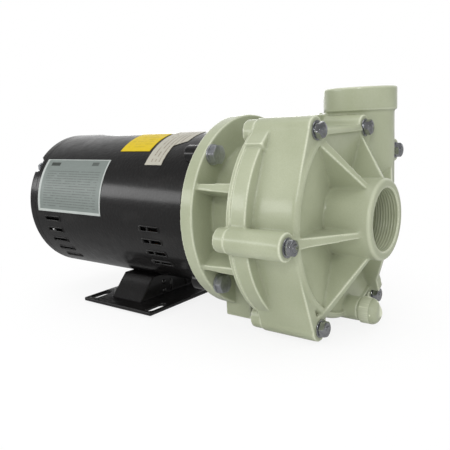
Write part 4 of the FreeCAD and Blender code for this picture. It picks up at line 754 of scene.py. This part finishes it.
# Fasteners
def casing_nuts():
    """Chamfered nuts, no two of which are turned alike."""
    mesh = Mesh()
    for corners in solids("casing_nuts"):
        low, high = corners
        tilt = 0.3 + 1.7 * (low.y + 0.3 * low.z) / MM
        flats = flats_of(corners)
        bore = 0.285 * flats
        chamfered_hex(mesh, axis_point(corners), flats, low.x, high.x, tilt, bore, both=True)
    return mesh.piece("casing_nuts_chamfered", "frame", "bright_zinc", ("casing_nuts",))


def washers_for(node, slot, bore_share):
    """Washers with rolled edges in place of a node's plain ones."""
    mesh = Mesh()
    for corners in solids(node):
        low, high = corners
        outer = (high.y - low.y) / 2
        washer(mesh, axis_point(corners), low.x, high.x, outer, outer * bore_share)
    return mesh.piece(node + "_rolled", "frame", slot, (node,))


def casing_bolts():
    """Hexagon bolts whose threaded ends stand out of the nuts."""
    nut_front = max(high.x for low, high in solids("casing_nuts"))
    thread_start = nut_front - 9 * MM
    shank_end = nut_front - 8 * MM
    head = CASE_BOLT_HEAD
    mesh = Mesh()
    for corners in solids("casing_bolts"):
        low, high = corners
        centre = axis_point(corners)
        chamfered_hex(mesh, centre, flats_of(corners), low.x + head, low.x, tilt=0.2)
        shank = [(low.x + head * 0.9, CASE_BOLT_R), (shank_end, CASE_BOLT_R)]
        mesh.skin(turned_rings(centre, shank, 32))
        threaded(mesh, centre, CASE_BOLT_R, CASE_THREAD_DEPTH, CASE_THREAD, thread_start, high.x)
    return mesh.piece("casing_bolts_threaded", "frame", "bright_zinc", ("casing_bolts",))


def adapter_bolts():
    """Hexagon bolts with a chamfer on head and end."""
    head = FACE_BOLT_HEAD
    radius = FACE_BOLT_R
    mesh = Mesh()
    for corners in solids("adapter_bolts"):
        low, high = corners
        centre = axis_point(corners)
        chamfered_hex(mesh, centre, flats_of(corners), high.x - head, high.x, tilt=0.4)
        shank = [(low.x, radius - 0.6 * MM), (low.x + 0.8 * MM, radius), (high.x - head * 0.9, radius)]
        mesh.skin(turned_rings(centre, shank, 32))
    return mesh.piece("adapter_bolts_chamfered", "frame", "dull_zinc", ("adapter_bolts",))


# Louvres of the shell's vents
def on_shell(middle, angle, along, side, reach=SHELL_R):
    """A point of the shell at a vent: along the shaft from its middle, and sideways across it."""
    out = Vector((0, math.cos(angle), math.sin(angle)))
    across = Vector((0, -math.sin(angle), math.cos(angle)))
    rise = math.sqrt(reach * reach - side * side)
    return Vector((middle + along, 0, 0)) + out * rise + across * side


def vents():
    """Middle along the shaft, angle, and the sideways sign that points up, of each vent."""
    for middle, rows in VENT_ROWS:
        for row in range(rows):
            angle = VENT_ANGLE + VENT_STEP * row
            yield middle, math.radians(angle), -1
            yield middle, math.radians(180 - angle), 1


def vent_lips():
    """The rolled edge of each slot."""
    mesh = Mesh()
    corner = 1.1 * MM
    wire = 0.75 * MM
    half_along, half_side = VENT_LENGTH / 2 - corner, VENT_WIDTH / 2 - corner
    for middle, angle, _ in vents():
        path = []
        for quarter, (ahead, aside) in enumerate(((1, 1), (-1, 1), (-1, -1), (1, -1))):
            for step in range(5):
                turn = quarter * math.pi / 2 + step * math.pi / 8
                way = Vector((math.cos(turn), math.sin(turn)))
                path.append((ahead * half_along + corner * way.x, aside * half_side + corner * way.y, way))
        rings = []
        for along, side, way in path:
            centre = on_shell(middle, angle, along, side)
            out = Vector((0, centre.y, centre.z)).normalized()
            sideways = on_shell(middle, angle, along + way.x * MM, side + way.y * MM) - centre
            sideways = (sideways - out * sideways.dot(out)).normalized()
            rings.append([centre + (sideways * math.cos(turn) + out * math.sin(turn)) * wire
                          for turn in turn_steps(8)])
        mesh.skin(rings, joined=True)
    return mesh.piece("vent_lips", "frame", "motor_paint", sharp=180.0)


def vent_tongues():
    """The strip that is pressed in behind each slot and leaves a gap above and below it."""
    mesh = Mesh()
    half = VENT_LENGTH / 2 + 0.3 * MM
    thick = 0.8 * MM
    # Share of the slot's width, and how deep the strip lies there
    bend = ((0.34, 1.0 * MM), (0.14, 1.5 * MM), (-0.14, 2.1 * MM), (-0.34, 2.9 * MM))
    for middle, angle, upper in vents():
        rings = []
        for along in (-half, 0.0, half):
            outside = [on_shell(middle, angle, along, upper * share * VENT_WIDTH, SHELL_R - drop)
                       for share, drop in bend]
            inside = [on_shell(middle, angle, along, upper * share * VENT_WIDTH, SHELL_R - drop - thick)
                      for share, drop in reversed(bend)]
            rings.append(outside + inside)
        mesh.skin(rings)
    return mesh.piece("vent_tongues", "frame", "motor_paint")


def vent_bridges():
    """Rounded bridges that cross the front slots at their rear end and their middle."""
    mesh = Mesh()
    bridges = ((-VENT_LENGTH / 2, 1.5 * MM), (-0.1 * VENT_LENGTH, 1.1 * MM))
    sunk = 0.2 * MM
    for middle, angle, _ in vents():
        if middle != VENT_ROWS[0][0]:
            continue
        for along, wide in bridges:
            rings = []
            for step in range(1, 8):
                tilt = math.pi * step / 8 - math.pi / 2
                side = math.sin(tilt) * VENT_WIDTH * 0.68
                ring = []
                for turn in turn_steps(16):
                    reach = SHELL_R - sunk + wide * math.cos(tilt) * math.sin(turn)
                    shift = along + wide * math.cos(tilt) * math.cos(turn)
                    ring.append(on_shell(middle, angle, shift, side, reach))
                rings.append(ring)
            mesh.skin(rings)
    return mesh.piece("vent_bridges", "frame", "motor_paint", look=BEAD_PAINT, sharp=180.0)


# Labels
def label(node, slot, look_of, low_angle, high_angle, outline=None):
    """A film wrapped on the shell. outline moves its points, as shares along and round it."""
    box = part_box(node)
    low, high = box
    reach = max(Vector((0, corner.y, corner.z)).length for corner in node_points(node))
    thick = 0.32 * MM
    rows, columns = 28, 20
    rings = []
    for column in range(columns + 1):
        share = column / columns
        ring = []
        for face in (reach, reach - thick):
            steps = range(rows + 1) if face == reach else range(rows, -1, -1)
            for row in steps:
                along, round_share = share, row / rows
                if outline:
                    along, round_share = outline(along, round_share)
                turn = math.radians(low_angle + (high_angle - low_angle) * round_share)
                place = low.x + (high.x - low.x) * along
                ring.append(Vector((place, face * math.cos(turn), face * math.sin(turn))))
        rings.append(ring)
    mesh = Mesh()
    mesh.skin(rings)
    look = look_of(box, low_angle, high_angle)
    return mesh.piece(node + "_printed", "frame", slot, (node,), look)


def cut_corner(along, share):
    """The white label's lower front corner is torn away, with a slant where the tear ends."""
    kept, tear_top, slant = 0.62, 0.42, 0.12
    reach = kept + (1 - kept) * min(1.0, max(0.0, share - tear_top) / slant)
    return along * reach, share


def node_points(node):
    """The vertices of a CAD node, in metres."""
    return [vertex.co for vertex in frame["nodes"][node].data.vertices]


def angles_of(node):
    """Lower and upper edge of a label on the -Y side of the shell, in degrees from +Y over +Z."""
    turns = [math.degrees(math.atan2(point.z, point.y)) % 360 for point in node_points(node)]
    return max(turns), min(turns)


# Stage, light and camera
def floor():
    """The plane under the object, which is stage and not part of it."""
    reach, base = FLOOR_REACH, cad_box[0].z
    mesh = bpy.data.meshes.new("floor")
    corners = [(-reach, -reach, base), (reach, -reach, base), (reach, reach, base), (-reach, reach, base)]
    mesh.from_pydata(corners, [], [(0, 1, 2, 3)])
    made = linked("floor", mesh)
    mesh.materials.append(floor_look())


def floor_look():
    """Matt near the object under a veil of plain white, and plain white alone further off. Gloss
    sees that white dimmed, and soft light sees the matt part alone."""
    material = bpy.data.materials.new("floor")
    material.use_nodes = True
    nodes = Nodes(material.node_tree)
    nodes.tree.nodes.clear()
    place = nodes.add("TexCoord", {}).outputs["Object"]
    from_middle = {"Vector": place, "Location": [-part for part in SHADOW_MIDDLE]}
    shifted = nodes.add("Mapping", from_middle).outputs["Vector"]
    distance = nodes.add("VectorMath", {0: shifted}, operation="LENGTH").outputs["Value"]
    fade = nodes.level(distance, *SHADOW_EDGE, SHADOW_WHITE, 1.0, interpolation_type="SMOOTHSTEP")
    ray = nodes.add("LightPath", {}).outputs
    seen = nodes.math("MAXIMUM", ray["Is Camera Ray"], ray["Is Glossy Ray"])
    seen = nodes.math("MAXIMUM", seen, ray["Is Transmission Ray"])
    dimmed = nodes.level(ray["Is Glossy Ray"], 0.0, 1.0, 1.0, FLOOR_IN_GLOSS)
    matt = nodes.add("BsdfDiffuse", {"Color": colour4(FLOOR_MATT)}).outputs["BSDF"]
    white = nodes.add("Emission", {"Color": colour4(WHITE), "Strength": dimmed}).outputs["Emission"]
    blend = nodes.add("MixShader", {0: nodes.math("MULTIPLY", seen, fade), 1: matt, 2: white})
    nodes.add("OutputMaterial", {"Surface": blend.outputs["Shader"]})
    return material


def world():
    """White to the camera and through glass. Gloss sees a white backdrop behind the object and a
    dimmer room in front of it. Everything else gets a plain soft fill."""
    made = bpy.data.worlds.new("studio")
    bpy.context.scene.world = made
    made.use_nodes = True
    nodes = Nodes(made.node_tree)
    place = nodes.add("TexCoord", {}).outputs["Generated"]
    toward = nodes.add("VectorMath", {0: place, 1: BACKDROP}, operation="DOT_PRODUCT").outputs["Value"]
    room = nodes.level(toward, *BACKDROP_EDGE, ROOM_LEVEL, 1.0, interpolation_type="SMOOTHSTEP")
    ray = nodes.add("LightPath", {}).outputs
    lit = nodes.level(ray["Is Glossy Ray"], 0.0, 1.0, FILL_LEVEL, room)
    seen = nodes.math("MAXIMUM", ray["Is Camera Ray"], ray["Is Transmission Ray"])
    back = nodes.tree.nodes["Background"]
    nodes.put(back.inputs["Color"], colour4(WHITE))
    nodes.put(back.inputs["Strength"], nodes.level(seen, 0.0, 1.0, lit, 1.0))


def lamp(name, place, width, height, energy):
    """An area lamp that faces LAMP_AIM."""
    light = bpy.data.lights.new(name, "AREA")
    light.shape = "RECTANGLE"
    light.size = width
    light.size_y = height
    light.energy = energy
    made = linked(name, light)
    made.location = place
    made.rotation_euler = (Vector(LAMP_AIM) - Vector(place)).to_track_quat("-Z", "Y").to_euler()


def camera():
    """The camera that was fitted to the photograph."""
    around = math.radians(CAMERA_ROUND)
    above = math.radians(CAMERA_ABOVE)
    roll = math.radians(CAMERA_ROLL)
    back = Vector((math.sin(around) * math.cos(above), -math.cos(around) * math.cos(above), math.sin(above)))
    level = Vector((math.cos(around), math.sin(around), 0))
    upright = back.cross(level)
    right = level * math.cos(roll) + upright * math.sin(roll)
    up = upright * math.cos(roll) - level * math.sin(roll)
    data = bpy.data.cameras.new("camera")
    data.sensor_width = SENSOR_WIDTH
    data.lens = CAMERA_LENS
    data.clip_start = CAMERA_NEAR
    made = linked("camera", data)
    rows = [(right[axis], up[axis], back[axis], CAMERA_PLACE[axis]) for axis in range(3)]
    made.matrix_world = Matrix((*rows, (0, 0, 0, 1)))
    bpy.context.scene.camera = made


def studio():
    bpy.context.scene.view_settings.view_transform = "Standard"
    world()
    floor()
    for name, (place, width, height, energy) in LAMPS.items():
        lamp(name, place, width, height, energy)
    camera()


def carried_over():
    """Every CAD node gets its slot's material, apart from the labels, which are made anew."""
    slots = {part["node"]: part["material_slot"] for part in frame["record"]["subparts"]}
    for node, shown in frame["nodes"].items():
        if slots[node] in LOOKS:
            shown.data.materials.clear()
            shown.data.materials.append(LOOKS[slots[node]])


def main():
    carried_over()
    soft_housing("volute_casing", "pump_plastic", voxel=0.8 * MM, rounds=6, share=0.35)
    soft_housing("motor_adapter", "pump_plastic", voxel=0.8 * MM, rounds=5, share=0.35)
    mounts = {mount["name"]: mount for mount in frame["record"]["mounts"]}
    port_thread("suction_port_thread", mounts["suction_port"], "X", -1)
    port_thread("discharge_port_thread", mounts["discharge_port"], "Z", -1)
    casing_nuts()
    casing_bolts()
    washers_for("casing_nut_washers", "bright_zinc", bore_share=0.42)
    washers_for("casing_bolt_washers", "bright_zinc", bore_share=0.42)
    adapter_bolts()
    washers_for("adapter_bolt_washers", "dull_zinc", bore_share=0.5)
    vent_lips()
    vent_tongues()
    vent_bridges()
    motor_base()
    weld_spots()
    soft_housing("rear_end_bell", "motor_casting", voxel=0.6 * MM, rounds=3, share=0.3)
    soft_housing("front_end_bell", "motor_casting", voxel=0.7 * MM, rounds=3, share=0.3)
    label("nameplate", "nameplate_foil", nameplate_film, *angles_of("nameplate"))
    label("yellow_label", "yellow_film", yellow_film, *angles_of("yellow_label"))
    label("white_label", "white_film", white_film, *angles_of("white_label"), cut_corner)
    studio()


main()
